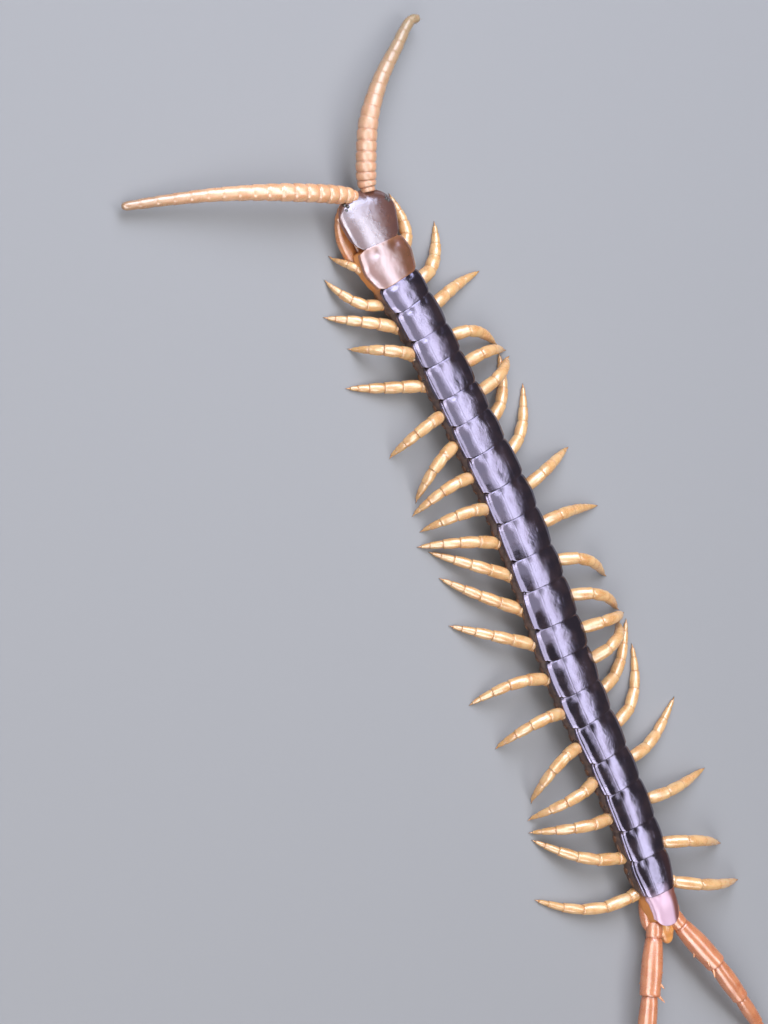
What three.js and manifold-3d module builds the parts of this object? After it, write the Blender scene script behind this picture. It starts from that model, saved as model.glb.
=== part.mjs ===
// A giant centipede at life size, standing on its feet in a walking pose.
// Millimetres, +Z up, the head towards -Y, the animal's left side at +X, the floor at z = 0.
import * as THREE from "three";
import { mergeVertices } from "three/addons/utils/BufferGeometryUtils.js";
import Module from "manifold-3d";

const wasm = await Module();
wasm.setup();

// Driving sizes
const gap = 0.3; // clearance between two nodes that meet
const segments = 21; // leg-bearing segments of the trunk
const headLength = 10;
const axisHeight = 3.9; // the trunk's axis above the floor
const backHeight = 2.8; // top of a back plate above the axis
const bellyDepth = 2.3; // belly plate below the axis
const boxCentre = [10.05, 20.76]; // middle of the whole model's box, in the spine's own plan

// The spine in plan, from the front of the head to the end of the last segment, as [x, y]
const spinePlan = [
  [1.7, -56.4],
  [2.8, -47.5],
  [2.1, -39.6],
  [0.8, -32],
  [-0.1, -21],
  [-1.1, -8],
  [-1.9, 4],
  [-1.5, 20],
  [-0.3, 39],
  [-0.6, 53],
  [-0.7, 64],
  [0.0, 75],
  [1.2, 88.2],
];

// Length of each back plate: the alternation of long and short plates, with 7 and 8 both long
const plateLengths = [
  6.6, 4.8, 6.0, 5.2, 6.2, 5.3, 6.2, 7.0, 6.2, 7.2, 6.0, 7.2, 6.0, 6.8, 6.0, 7.3, 6.4, 7.4, 6.0, 7.1,
  5.9,
];

// Half width of the back plates, as [segment number, half width]
const plateHalfWidths = [
  [1, 5.15],
  [1.5, 5.4],
  [2, 4.6],
  [3, 4.4],
  [6, 4.6],
  [9, 4.85],
  [12, 5.05],
  [14, 5.1],
  [15.5, 4.8],
  [18, 4.4],
  [20.3, 4.25],
  [21, 3.6],
  [22, 3.2],
];

// Feet: swing forwards of straight out, in degrees, and reach from the hip in plan, by segment 1 to 20.
// The knee's own swing differs from the foot's, which hooks the leg forwards or backwards.
const footSwing = {
  left: [62, 54, 38, 34, 26, -10, -26, -2, 8, 21, 38, 41, 33, 7, 1, -20, -3, 14, 31, 17],
  right: [59, 25, 3, -28, -9, 11, 42, 36, 10, -7, -31, -29, -6, 16, 30, 36, 14, -5, -23, -23],
};
const kneeSwing = {
  left: [58, 30, 38, 33, 25, 0, -8, 11, 17, 24, 36, 38, 32, 19, 15, 4, 0, 12, 21, 3],
  right: [36, 2, 7, -12, 2, 11, 26, 20, 13, -1, -19, -18, -3, 17, 13, 12, 2, -8, -19, -27],
};
const footReach = {
  left: [
    6.0, 10.4, 13.0, 11.0, 14.2, 11.4, 11.8, 12.2, 12.2, 14.8, 15.6, 16.4, 16.2, 15.0, 13.4, 12.6, 13.6,
    15.0, 17.5, 19.6,
  ],
  right: [
    10.6, 12.6, 13.8, 12.0, 11.6, 11.6, 13.6, 14.4, 14.2, 15.2, 13.8, 13.8, 12.8, 12.0, 15.8, 16.2, 17.0,
    16.8, 16.3, 18.0,
  ],
};
const firstLegLength = { left: 8.6, right: 12.6 };
const legLengths = [
  [2, 12.9],
  [3, 14.4],
  [8, 15.6],
  [12, 17.6],
  [16, 17.4],
  [18, 18.2],
  [19, 19.3],
  [20, 21.0],
];
const hipHeight = 2.9;
const hipInset = 0.74; // hip's distance from the spine, as a share of the plate's half width
// and its place along the plate, by segment: the last hips lie near the plate's rear corners
const hipPlaces = [
  [17, 0.55],
  [18, 0.65],
  [19, 0.9],
];
const claw = 0.8; // length of the pointed claw at the end of a leg
const footHeight = 0.3; // middle of the last joint above the floor, low enough to leave a small flat

// Articles of a walking leg: share of the leg's length where each ends, and the radius there and midway
const legArticles = [
  { name: "coxa", end: 0.11, middle: 1.3, joint: 1.12 },
  { name: "prefemur", end: 0.34, middle: 1.22, joint: 1.1 },
  { name: "femur", end: 0.55, middle: 1.14, joint: 1.0 },
  { name: "tibia", end: 0.73, middle: 0.98, joint: 0.82 },
  { name: "tarsus 1", end: 0.87, middle: null, joint: 0.58 },
  { name: "tarsus 2", end: 0.96, middle: null, joint: 0.36 },
];
// The first legs differ in thickness, as [segment number, share of the full thickness]
const legThickness = {
  left: [
    [1, 0.7],
    [2, 0.9],
    [3, 1],
  ],
  right: [
    [1, 1.0],
    [2, 1.12],
    [4, 1],
  ],
};
const legSides = 7;

// The last pair of legs trails behind, heavier and with spines on the first long article
const lastLeg = {
  lengths: [3.1, 10.4, 8.8, 7.0, 4.8, 3.6], // hip, prefemur, femur, tibia, tarsus 1, tarsus 2
  radii: [1.6, 2.1, 1.8, 1.4, 1.0, 0.65], // the thickest place of each
  endRadius: 0.55,
  heights: [3.6, 3.7, 4.3, 3.5, 2.0, 0.9, 0.38], // of each joint above the floor
  headings: { left: [24, 28, 24, 24, 27, 30], right: [22, 25, 22, 23, 25, 27] }, // degrees off the spine
  spread: 1.9, // hips from the spine
  spineLength: 1.0,
  clawLength: 1.7,
};

// Antennae in plan, as [x, y, z], from the head outwards, and the radius from base to tip
const antennaCourse = {
  left: [
    [3.2, -55.6, 4.4],
    [4.6, -56.4, 4.6],
    [11.2, -59.2, 5.4],
    [19.8, -62.6, 5.1],
    [28.0, -65.4, 4.1],
    [35.8, -67.6, 2.8],
    [43.6, -69.5, 1.7],
  ],
  right: [
    [0.4, -55.6, 4.4],
    [0.1, -57.3, 4.6],
    [-1.1, -61.0, 5.4],
    [-4.4, -67.0, 5.7],
    [-10.0, -72.6, 5.1],
    [-16.4, -77.0, 4.1],
    [-19.9, -79.4, 3.4],
    [-22.1, -80.3, 3.0],
    [-23.4, -79.8, 2.8],
  ],
};
const antennaArticles = 18;
// Radius of an antenna along its length, as [share of the length, radius]: blunt at its tip
const antennaRadii = [
  [0, 1.0],
  [0.03, 1.5],
  [0.09, 1.7],
  [0.3, 1.65],
  [0.5, 1.35],
  [0.75, 1.05],
  [1, 0.78],
];
const antennaSize = { left: 1.0, right: 1.12 };

const materials = {
  plate: material(0x1c1420, 0.28),
  neckPlate: material(0x6b2a12, 0.3),
  headPlate: material(0x7a2f14, 0.3),
  tailPlate: material(0x6e3020, 0.32),
  leg: material(0xe09a3e, 0.4),
  lastLeg: material(0xd2592a, 0.34),
  antenna: material(0xc98a4b, 0.5),
  jaw: material(0xb5561c, 0.3),
  eye: material(0x120c0a, 0.12),
};

function material(color, roughness) {
  return new THREE.MeshStandardMaterial({ color, roughness, metalness: 0 });
}

// Small helpers on numbers

function between(stops, value) {
  const last = stops.length - 1;
  if (value <= stops[0][0]) return stops[0][1];
  if (value >= stops[last][0]) return stops[last][1];
  const k = stops.findIndex((stop) => stop[0] > value);
  const [x0, y0] = stops[k - 1];
  const [x1, y1] = stops[k];
  return y0 + ((y1 - y0) * (value - x0)) / (x1 - x0);
}

function degrees(angle) {
  return (angle * Math.PI) / 180;
}

// The spine as a curve, and a frame at any distance from the front of the head

const spine = new THREE.CatmullRomCurve3(
  spinePlan.map(([x, y]) => new THREE.Vector3(x, y, 0)),
  false,
  "catmullrom",
);
const spineLength = spine.getLength();
const upwards = new THREE.Vector3(0, 0, 1);

function frameAt(distance) {
  const share = THREE.MathUtils.clamp(distance / spineLength, 0, 1);
  const backwards = spine.getTangentAt(share);
  const origin = spine.getPointAt(share).addScaledVector(backwards, distance - share * spineLength);
  const leftwards = new THREE.Vector3().crossVectors(backwards, upwards);
  return { origin, backwards, leftwards };
}

function onFrame(distance, left, up) {
  const { origin, leftwards } = frameAt(distance);
  return origin.clone().addScaledVector(leftwards, left).addScaledVector(upwards, up);
}

const plateStarts = plateLengths.map((_, k) =>
  plateLengths.slice(0, k).reduce((sum, length) => sum + length, headLength),
);

// Solids: a closed tube of rings, made from a cylinder whose rows are moved to the stations

function tube(sides, stations, pointAt) {
  const rows = stations.length - 1;
  const geometry = new THREE.CylinderGeometry(1, 1, 1, sides, rows);
  geometry.deleteAttribute("normal");
  geometry.deleteAttribute("uv");
  const position = geometry.attributes.position;
  const vertex = new THREE.Vector3();
  for (let k = 0; k < position.count; k++) {
    vertex.fromBufferAttribute(position, k);
    const station = stations[Math.round((vertex.y + 0.5) * rows)];
    const onWall = Math.hypot(vertex.x, vertex.z) > 0.5;
    const corner = Math.round((Math.atan2(vertex.x, vertex.z) / (2 * Math.PI)) * sides + sides) % sides;
    const point = onWall ? pointAt(station, corner) : ringMiddle(sides, station, pointAt);
    position.setXYZ(k, point.x, point.y, point.z);
  }
  return solidOf(geometry);
}

function ringMiddle(sides, station, pointAt) {
  const middle = new THREE.Vector3();
  for (let corner = 0; corner < sides; corner++) middle.add(pointAt(station, corner));
  return middle.divideScalar(sides);
}

function solidOf(geometry) {
  const merged = mergeVertices(geometry, 1e-4);
  return new wasm.Manifold(
    new wasm.Mesh({
      numProp: 3,
      vertProperties: new Float32Array(merged.attributes.position.array),
      triVerts: new Uint32Array(merged.index.array),
    }),
  );
}

function largestOf(solid) {
  const bodies = solid.decompose();
  return bodies.reduce((best, body) => (body.volume() > best.volume() ? body : best), bodies[0]);
}

function meshOf(name, solid, look) {
  const data = largestOf(solid).getMesh();
  const geometry = new THREE.BufferGeometry();
  geometry.setAttribute("position", new THREE.BufferAttribute(data.vertProperties, 3));
  geometry.setIndex(new THREE.BufferAttribute(data.triVerts, 1));
  geometry.computeVertexNormals();
  const mesh = new THREE.Mesh(geometry, look);
  mesh.name = name;
  return mesh;
}

// A round limb through a list of stations { at, radius }, each ring square to the limb there,
// or upright where the station is level, so that the limb lies flat on the floor.
// flatness squeezes the rings in height, and grow makes them wider all round.
function limb(sides, stations, { flatness = 1, grow = 0, floor = null } = {}) {
  const rings = stations.map((station, k) => {
    const before = stations[Math.max(k - 1, 0)].at;
    const after = stations[Math.min(k + 1, stations.length - 1)].at;
    const along = new THREE.Vector3().subVectors(after, before);
    if (station.level) along.setZ(0);
    along.normalize();
    const across = new THREE.Vector3().crossVectors(along, upwards).normalize();
    const lift = new THREE.Vector3().crossVectors(across, along);
    return { ...station, across, lift };
  });
  return tube(sides, rings, ({ at, radius, across, lift }, corner) => {
    const angle = (2 * Math.PI * corner) / sides;
    const size = radius + grow;
    const point = at
      .clone()
      .addScaledVector(across, size * Math.sin(angle))
      .addScaledVector(lift, size * Math.cos(angle) * flatness);
    if (floor !== null) point.z = Math.max(point.z, floor);
    return point;
  });
}

// Trunk: half of a ring from the middle of the back, down the left side, to the middle of the belly,
// as [share of the half width, share of the height above or below the axis]
const trunkHalfRing = [
  [0, 1.0],
  [0.3, 0.99],
  [0.58, 0.93],
  [0.81, 0.8],
  [0.95, 0.6],
  [1.0, 0.4], // rim of the back plate
  [0.98, 0.26],
  [1.1, -0.08], // side membrane, bulging out under the plate
  [1.0, -0.55],
  [0.6, -0.95], // edge of the belly plate
  [0, -1.0],
];
const trunkSides = 2 * (trunkHalfRing.length - 1);

// How a back plate swells along its length, as [share of the length, share of its full height or width]
const plateSwell = [
  [0, 0.9],
  [0.12, 0.965],
  [0.55, 1.0],
  [0.96, 0.985],
];
const plateSpread = [
  [0, 0.95],
  [0.12, 0.97],
  [0.55, 1.0],
  [0.96, 0.96],
];
const bellySwell = [
  [0, 0.9],
  [0.12, 0.98],
  [0.55, 1.0],
  [0.96, 0.98],
];

// A corner of the trunk's section, as [left of the spine, above the axis]
function trunkCorner({ number, share }, corner) {
  const onLeft = corner <= trunkSides / 2;
  const [wide, high] = trunkHalfRing[onLeft ? corner : trunkSides - corner];
  const halfWidth = between(plateHalfWidths, number + share);
  const swell = between(plateSwell, share);
  const neck = number === 1 ? between([[0, 0.3], [0.55, 0.4], [0.96, 1]], share) : 1;
  const tail = number === segments ? between([[0.5, 1], [1, 0.82]], share) : 1;
  const left = halfWidth * wide * (high > 0.3 ? between(plateSpread, share) : 0.96);
  const up = high > 0 ? backHeight * high * swell : bellyDepth * high * between(bellySwell, share) * neck;
  return [onLeft ? left : -left, up * tail];
}

// The same corner moved outwards, square to the section's outline there
function grownCorner(cornerAt, sides, corner, grow) {
  const [x, y] = cornerAt(corner);
  if (grow === 0) return [x, y];
  const [x0, y0] = cornerAt((corner + sides - 1) % sides);
  const [x1, y1] = cornerAt((corner + 1) % sides);
  const before = new THREE.Vector2(y0 - y, x - x0).normalize();
  const after = new THREE.Vector2(y - y1, x1 - x).normalize();
  const normal = before.clone().add(after).normalize();
  const miter = grow / Math.max(normal.dot(after), 0.6);
  return [x + normal.x * miter, y + normal.y * miter];
}

function trunkPoint(station, corner, grow = 0) {
  const [left, up] = grownCorner((k) => trunkCorner(station, k), trunkSides, corner, grow);
  return onFrame(station.distance, left, axisHeight + up);
}

function trunkStations(first, last, inset) {
  const stations = [];
  for (let number = first; number <= last; number++) {
    const start = plateStarts[number - 1];
    const length = plateLengths[number - 1];
    for (const [share] of plateSwell) {
      const distance = start + share * length;
      stations.push({ distance: number === first && share === 0 ? distance + inset : distance, number, share });
    }
  }
  const end = plateStarts[last - 1] + plateLengths[last - 1];
  stations.push({ distance: end - inset, number: last, share: 0.999 });
  return stations;
}

function trunk(first, last, inset = gap / 2, grow = 0) {
  return tube(trunkSides, trunkStations(first, last, inset), (station, corner) => trunkPoint(station, corner, grow));
}

// Head: the head plate over the head capsule, flat and nearly round in plan
const headHalfRing = [
  [0, 1.0],
  [0.3, 0.985],
  [0.58, 0.9],
  [0.82, 0.7],
  [0.96, 0.42],
  [1.0, 0.12], // rim of the head plate
  [0.93, -0.1],
  [0.82, -0.45],
  [0.6, -0.8],
  [0.3, -0.97],
  [0, -1.0],
];
// The head along its length, as [distance from its front, half width, height above its axis, depth below it]
const headShape = [
  [0, 1.9, 0.75, 0.7],
  [0.5, 2.9, 1.05, 0.85],
  [1.5, 4.35, 1.3, 0.95],
  [2.9, 5.35, 1.5, 1.05],
  [4.6, 5.75, 1.7, 1.15],
  [6.2, 5.65, 1.8, 1.15],
  [7.6, 5.1, 1.8, 1.1],
  [9.0, 4.25, 1.76, 1.05],
  [headLength - gap / 2, 3.3, 1.72, 1.0],
];
const headAxis = [
  [0, 4.15],
  [5, 4.3],
  [10, 4.45],
];

function headCorner([, halfWidth, above, below], corner) {
  const onLeft = corner <= trunkSides / 2;
  const [wide, high] = headHalfRing[onLeft ? corner : trunkSides - corner];
  return [(onLeft ? halfWidth : -halfWidth) * wide, (high > 0 ? above : below) * high];
}

function headPoint(row, corner, grow = 0) {
  const [left, up] = grownCorner((k) => headCorner(row, k), trunkSides, corner, grow);
  return onFrame(row[0], left, between(headAxis, row[0]) + up);
}

function head(grow = 0) {
  const shape = headShape.map((row) => [...row]);
  shape[0][0] -= grow;
  return tube(trunkSides, shape, (row, corner) => headPoint(row, corner, grow));
}

// Walking legs

function hipOf(side, number) {
  const place = between(hipPlaces, number);
  const distance = plateStarts[number - 1] + plateLengths[number - 1] * place;
  const halfWidth = between(plateHalfWidths, number + place);
  return { distance, out: side * hipInset * halfWidth };
}

// A leg's course: out from the hip, over the knee and down to the foot, as long as the leg is
function legCourse(sideName, number) {
  const side = sideName === "left" ? 1 : -1;
  const { distance, out } = hipOf(side, number);
  const { backwards, leftwards } = frameAt(distance);
  const swing = footSwing[sideName][number - 1];
  const reach = footReach[sideName][number - 1];
  const length = (number === 1 ? firstLegLength[sideName] : between(legLengths, number)) - claw;
  const heading = (angle) =>
    leftwards
      .clone()
      .multiplyScalar(side * Math.cos(degrees(angle)))
      .addScaledVector(backwards, -Math.sin(degrees(angle)));
  const hip = onFrame(distance, out, hipHeight);
  const foot = onFrame(distance, out, 0).addScaledVector(heading(swing), reach);
  foot.z = footHeight;
  const knee = kneeSwing[sideName][number - 1];
  const leaving = heading(knee + (knee - swing) * 0.9);
  const arriving = heading(THREE.MathUtils.clamp(swing + (swing - knee) * 1.5, -85, 85));
  const arch = (lift) =>
    new THREE.CubicBezierCurve3(
      hip,
      hip.clone().addScaledVector(leaving, reach * 0.42).setZ(hipHeight + lift),
      foot.clone().addScaledVector(arriving, -reach * 0.38).setZ(foot.z + lift),
      foot,
    );
  let low = 0;
  let high = 14;
  for (let k = 0; k < 24; k++) {
    const middle = (low + high) / 2;
    if (arch(middle).getLength() < length) low = middle;
    else high = middle;
  }
  return arch(low);
}

function legStations(course, sideName, number) {
  const stations = [];
  const size = between(legThickness[sideName], number);
  const at = (share) => course.getPointAt(share);
  const lastEnd = legArticles[legArticles.length - 1].end;
  const joints = [0, ...legArticles.map((article) => article.end / lastEnd)];
  legArticles.forEach((article, k) => {
    const from = at(joints[k]);
    const to = at(Math.min(joints[k + 1], 1));
    if (k === 0) stations.push({ at: from, radius: article.middle * size });
    else if (article.middle) stations.push({ at: from.clone().lerp(to, 0.45), radius: article.middle * size });
    stations.push({ at: to, radius: article.joint * size });
  });
  const foot = stations[stations.length - 1].at;
  const before = stations[stations.length - 2].at;
  const ahead = foot.clone().sub(before).setZ(0).setLength(claw * 0.8);
  stations[stations.length - 1].level = true;
  stations.push({ at: foot.clone().add(ahead).setZ(0.14), radius: 0.2, level: true });
  return stations;
}

function leg(sideName, number, grow = 0) {
  return limb(legSides, legStations(legCourse(sideName, number), sideName, number), { grow, floor: 0 });
}

// Last pair of legs

function lastLegStations(sideName) {
  const side = sideName === "left" ? 1 : -1;
  const start = plateStarts[segments - 1] + plateLengths[segments - 1] * 0.9;
  const { backwards, leftwards } = frameAt(start);
  const at = onFrame(start, side * lastLeg.spread, lastLeg.heights[0]);
  const joints = [at.clone()];
  lastLeg.lengths.forEach((length, k) => {
    const angle = degrees(lastLeg.headings[sideName][k]);
    const fall = lastLeg.heights[k + 1] - lastLeg.heights[k];
    const run = Math.sqrt(length * length - fall * fall);
    at.addScaledVector(backwards, run * Math.cos(angle)).addScaledVector(leftwards, side * run * Math.sin(angle));
    at.z = lastLeg.heights[k + 1];
    joints.push(at.clone());
  });
  const stations = [{ at: joints[0], radius: lastLeg.radii[0] * 0.85 }];
  for (let k = 0; k < lastLeg.lengths.length; k++) {
    const next = lastLeg.radii[k + 1] ?? lastLeg.endRadius;
    stations.push({ at: joints[k].clone().lerp(joints[k + 1], 0.42), radius: lastLeg.radii[k] });
    stations.push({ at: joints[k + 1].clone(), radius: Math.min(lastLeg.radii[k], next) * 0.84 });
  }
  const end = joints[joints.length - 1];
  const ahead = end.clone().sub(joints[joints.length - 2]).setZ(0).setLength(lastLeg.clawLength);
  stations[stations.length - 1].level = true;
  stations.push({ at: end.clone().add(ahead).setZ(0.14), radius: 0.2, level: true });
  return stations;
}

// Spines of the first long article: [share of its length, degrees round from the top towards the inner side]
const prefemurSpines = [
  [0.5, 88],
  [0.76, 50],
  [0.97, 70],
  [0.45, 150],
  [0.72, 205],
];

function cone(root, direction, length, radius) {
  const tip = root.clone().addScaledVector(direction, length);
  return limb(5, [
    { at: root, radius },
    { at: tip, radius: 0.1 },
  ]);
}

function lastLegSolid(sideName) {
  const side = sideName === "left" ? 1 : -1;
  const stations = lastLegStations(sideName);
  const from = stations[2].at;
  const to = stations[4].at;
  const radius = lastLeg.radii[1];
  const along = to.clone().sub(from).normalize();
  const outwards = new THREE.Vector3().crossVectors(along, upwards).normalize().multiplyScalar(side);
  const over = new THREE.Vector3().crossVectors(along, outwards).multiplyScalar(-side);
  let solid = limb(10, stations, { floor: 0 });
  for (const [share, round] of prefemurSpines) {
    const radial = outwards
      .clone()
      .multiplyScalar(-Math.sin(degrees(round)))
      .addScaledVector(over, Math.cos(degrees(round)));
    const root = from.clone().lerp(to, share).addScaledVector(radial, radius * 0.55);
    const lean = radial.clone().addScaledVector(along, 0.9).normalize();
    solid = solid.add(cone(root, lean, lastLeg.spineLength + radius * 0.45, 0.42));
  }
  return solid;
}

// Side plates of the last segment, each with a pointed process behind
function tailProcess(side, grow = 0) {
  const start = plateStarts[segments - 1] + plateLengths[segments - 1] * 0.35;
  const rear = plateStarts[segments - 1] + plateLengths[segments - 1];
  const course = [
    { at: onFrame(start, side * 2.6, axisHeight - 0.8), radius: 1.1 },
    { at: onFrame(start + 2.2, side * 2.95, axisHeight - 0.85), radius: 1.25 },
    { at: onFrame(rear - 0.6, side * 3.2, axisHeight - 0.95), radius: 0.9 },
    { at: onFrame(rear + 1.5 + grow, side * 3.5, axisHeight - 1.05), radius: 0.12 },
  ];
  return limb(8, course, { grow });
}

// Antennae

function antennaStations(sideName) {
  const course = new THREE.CatmullRomCurve3(
    antennaCourse[sideName].map((point) => new THREE.Vector3(...point)),
    false,
    "catmullrom",
  );
  const jointAt = (k) => Math.pow(k / antennaArticles, 1.3);
  const radiusAt = (share) => between(antennaRadii, share) * antennaSize[sideName];
  const stations = [{ at: course.getPointAt(0), radius: radiusAt(0) * 0.85 }];
  for (let k = 0; k < antennaArticles; k++) {
    const start = jointAt(k);
    const end = jointAt(k + 1);
    stations.push({ at: course.getPointAt(start + (end - start) * 0.68), radius: radiusAt(start) });
    stations.push({ at: course.getPointAt(end), radius: radiusAt(end) * 0.88 });
  }
  stations[stations.length - 1].radius = radiusAt(1) * 0.5;
  return stations;
}

function antenna(sideName) {
  return limb(6, antennaStations(sideName));
}

// Venom claws and the plate that carries them, under the head
const jawPlateShape = [
  { distance: 6.0, half: 2.5, depth: 0.75 },
  { distance: 6.8, half: 3.2, depth: 0.95 },
  { distance: 9.4, half: 3.7, depth: 1.15 },
  { distance: 11.8, half: 4.5, depth: 1.25 },
  { distance: 14.0, half: 4.5, depth: 1.2 },
  { distance: 15.6, half: 3.4, depth: 0.9 },
];
const jawHeight = 1.85;
const jawSides = 12;

function jawPlate() {
  const plate = tube(jawSides, jawPlateShape, ({ distance, half, depth }, corner) => {
    const angle = (2 * Math.PI * corner) / jawSides;
    const wide = Math.sign(Math.sin(angle)) * Math.pow(Math.abs(Math.sin(angle)), 0.7);
    return onFrame(distance, half * wide, jawHeight + depth * Math.cos(angle));
  });
  return [-1, 1].reduce((solid, side) => solid.add(toothPlate(side)), plate);
}

// A tooth plate in front of the jaw plate, with four blunt teeth
function toothPlate(side) {
  const width = 1.6;
  const depth = 1.5;
  const teeth = 4;
  const outline = new THREE.Shape();
  outline.moveTo(0, 0);
  outline.lineTo(width, 0);
  outline.lineTo(width, depth);
  for (let k = 0; k < teeth; k++) {
    const x = width - (width / teeth) * k;
    outline.lineTo(x - width / teeth / 2, depth + 0.35);
    outline.lineTo(x - width / teeth, depth);
  }
  outline.closePath();
  const geometry = new THREE.ExtrudeGeometry(outline, { depth: 0.6, bevelEnabled: false });
  geometry.deleteAttribute("normal");
  geometry.deleteAttribute("uv");
  const { origin, backwards, leftwards } = frameAt(6.8);
  const place = new THREE.Matrix4().makeBasis(leftwards, backwards.clone().negate(), upwards.clone().negate());
  const root = origin.clone().addScaledVector(leftwards, side > 0 ? 0.15 : -0.15 - width);
  place.setPosition(root.x, root.y, jawHeight + 0.25);
  return solidOf(geometry.applyMatrix4(place));
}

// Course of a venom claw: [distance from the head's front, out from the spine, height, radius]
const venomClaw = [
  [13.4, 3.3, 2.2, 0.9],
  [11.4, 4.0, 2.1, 1.35],
  [9.6, 4.35, 2.0, 1.42],
  [7.2, 4.6, 1.95, 1.4],
  [5.0, 4.35, 1.88, 1.12],
  [4.3, 4.1, 1.84, 1.16],
  [3.4, 3.7, 1.82, 0.98],
  [2.8, 3.3, 1.8, 1.0],
  [1.6, 2.4, 1.74, 0.7],
  [0.9, 1.45, 1.68, 0.44],
  [0.9, 0.6, 1.62, 0.14],
];

function venomClawSolid(side, grow = 0) {
  const stations = venomClaw.map(([distance, out, height, radius]) => ({
    at: onFrame(distance, side * out, height),
    radius,
  }));
  return limb(8, stations, { flatness: 0.72, grow });
}

// Eyes: four simple lenses on each side of the head, on one small pad let into the head plate
const eyeCluster = { distance: 2.45, out: 4.1, pad: 0.9, lens: 0.38, spacing: 0.5 };

// Where a pad's middle is, the way it faces, and the turn that brings it there
function eyeSeat(side) {
  const { distance, out } = eyeCluster;
  const middle = onFrame(distance, side * out, between(headAxis, distance) + 0.78);
  const outward = new THREE.Vector3(side * 0.62, -0.25, 0.78).normalize();
  const turn = new THREE.Quaternion().setFromUnitVectors(upwards, outward);
  return { middle, outward, turn };
}

function eye(side) {
  const { pad, lens, spacing } = eyeCluster;
  const { middle, turn } = eyeSeat(side);
  const place = (x, y, z) => new THREE.Vector3(x, y, z).applyQuaternion(turn).add(middle);
  const ball = (radius, x, y, z) => {
    const geometry = new THREE.SphereGeometry(radius, 8, 6);
    geometry.deleteAttribute("normal");
    geometry.deleteAttribute("uv");
    const at = place(x, y, z);
    return solidOf(geometry.translate(at.x, at.y, at.z));
  };
  const disc = new THREE.CylinderGeometry(pad, pad, 0.5, 12);
  disc.deleteAttribute("normal");
  disc.deleteAttribute("uv");
  disc.rotateX(Math.PI / 2).applyQuaternion(turn);
  const base = place(0, 0, -0.1);
  let solid = solidOf(disc.translate(base.x, base.y, base.z));
  for (const [x, y] of [[1, 0], [-1, 0], [0, 1], [0, -1]]) solid = solid.add(ball(lens, x * spacing, y * spacing, 0.12));
  return solid;
}

function eyePocket(side) {
  const { pad } = eyeCluster;
  const { middle, outward, turn } = eyeSeat(side);
  const depth = 3; // far enough to reach out of the head
  const floor = 0.35; // under the pad's middle, and a gap more
  const hole = new THREE.CylinderGeometry(pad + gap, pad + gap, depth, 12);
  hole.deleteAttribute("normal");
  hole.deleteAttribute("uv");
  hole.rotateX(Math.PI / 2).applyQuaternion(turn);
  const at = middle.clone().addScaledVector(outward, depth / 2 - floor - gap);
  return solidOf(hole.translate(at.x, at.y, at.z));
}

// The nodes

const centipede = new THREE.Group();
centipede.position.set(-boxCentre[0], -boxCentre[1], 0);

const wholeTrunk = trunk(1, segments, 0, gap);
const wideHead = head(gap);
const bulk = [-1, 1].reduce((sum, side) => sum.add(tailProcess(side, gap)), wholeTrunk.add(wideHead));

const trunkNodes = [
  ["trunk_01", 1, 1, materials.neckPlate],
  ["trunk_02_04", 2, 4, materials.plate],
  ["trunk_05_07", 5, 7, materials.plate],
  ["trunk_08_10", 8, 10, materials.plate],
  ["trunk_11_13", 11, 13, materials.plate],
  ["trunk_14_16", 14, 16, materials.plate],
  ["trunk_17_19", 17, 19, materials.plate],
  ["trunk_20_21", 20, 21, materials.tailPlate],
];
for (const [name, first, last, look] of trunkNodes) {
  let solid = trunk(first, last);
  if (last === segments) solid = [-1, 1].reduce((sum, side) => sum.add(tailProcess(side)), solid);
  centipede.add(meshOf(name, solid, look));
}

const sides = { left: 1, right: -1 };
let headSolid = head();
for (const [name, side] of Object.entries(sides)) {
  headSolid = headSolid.subtract(eyePocket(side));
  centipede.add(meshOf("eye_" + name, eye(side), materials.eye));
  centipede.add(meshOf("antenna_" + name, antenna(name).subtract(bulk), materials.antenna));
  centipede.add(meshOf("venom_claw_" + name, venomClawSolid(side).subtract(bulk), materials.jaw));
  for (let number = 1; number < segments; number++) {
    const label = "leg_" + name + "_" + String(number).padStart(2, "0");
    let solid = leg(name, number).subtract(bulk);
    if (number === 1) solid = solid.subtract(venomClawSolid(side, gap));
    centipede.add(meshOf(label, solid, materials.leg));
  }
  centipede.add(meshOf("leg_" + name + "_21", lastLegSolid(name).subtract(bulk), materials.lastLeg));
}
centipede.add(meshOf("head", headSolid, materials.headPlate));

let aroundJaw = bulk;
for (const [name, side] of Object.entries(sides)) {
  aroundJaw = aroundJaw.add(venomClawSolid(side, gap)).add(leg(name, 1, gap)).add(leg(name, 2, gap));
}
centipede.add(meshOf("jaw_plate", jawPlate().subtract(aroundJaw), materials.jaw));

export default centipede;
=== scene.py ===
# A giant centipede at life size, standing on its feet.
# Metres, +Z up, the head towards -Y, the animal's left side at +X, the floor at z = 0.
import bisect
import math
import random

import bmesh
import bpy
from mathutils import Matrix, Vector, noise


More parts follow.
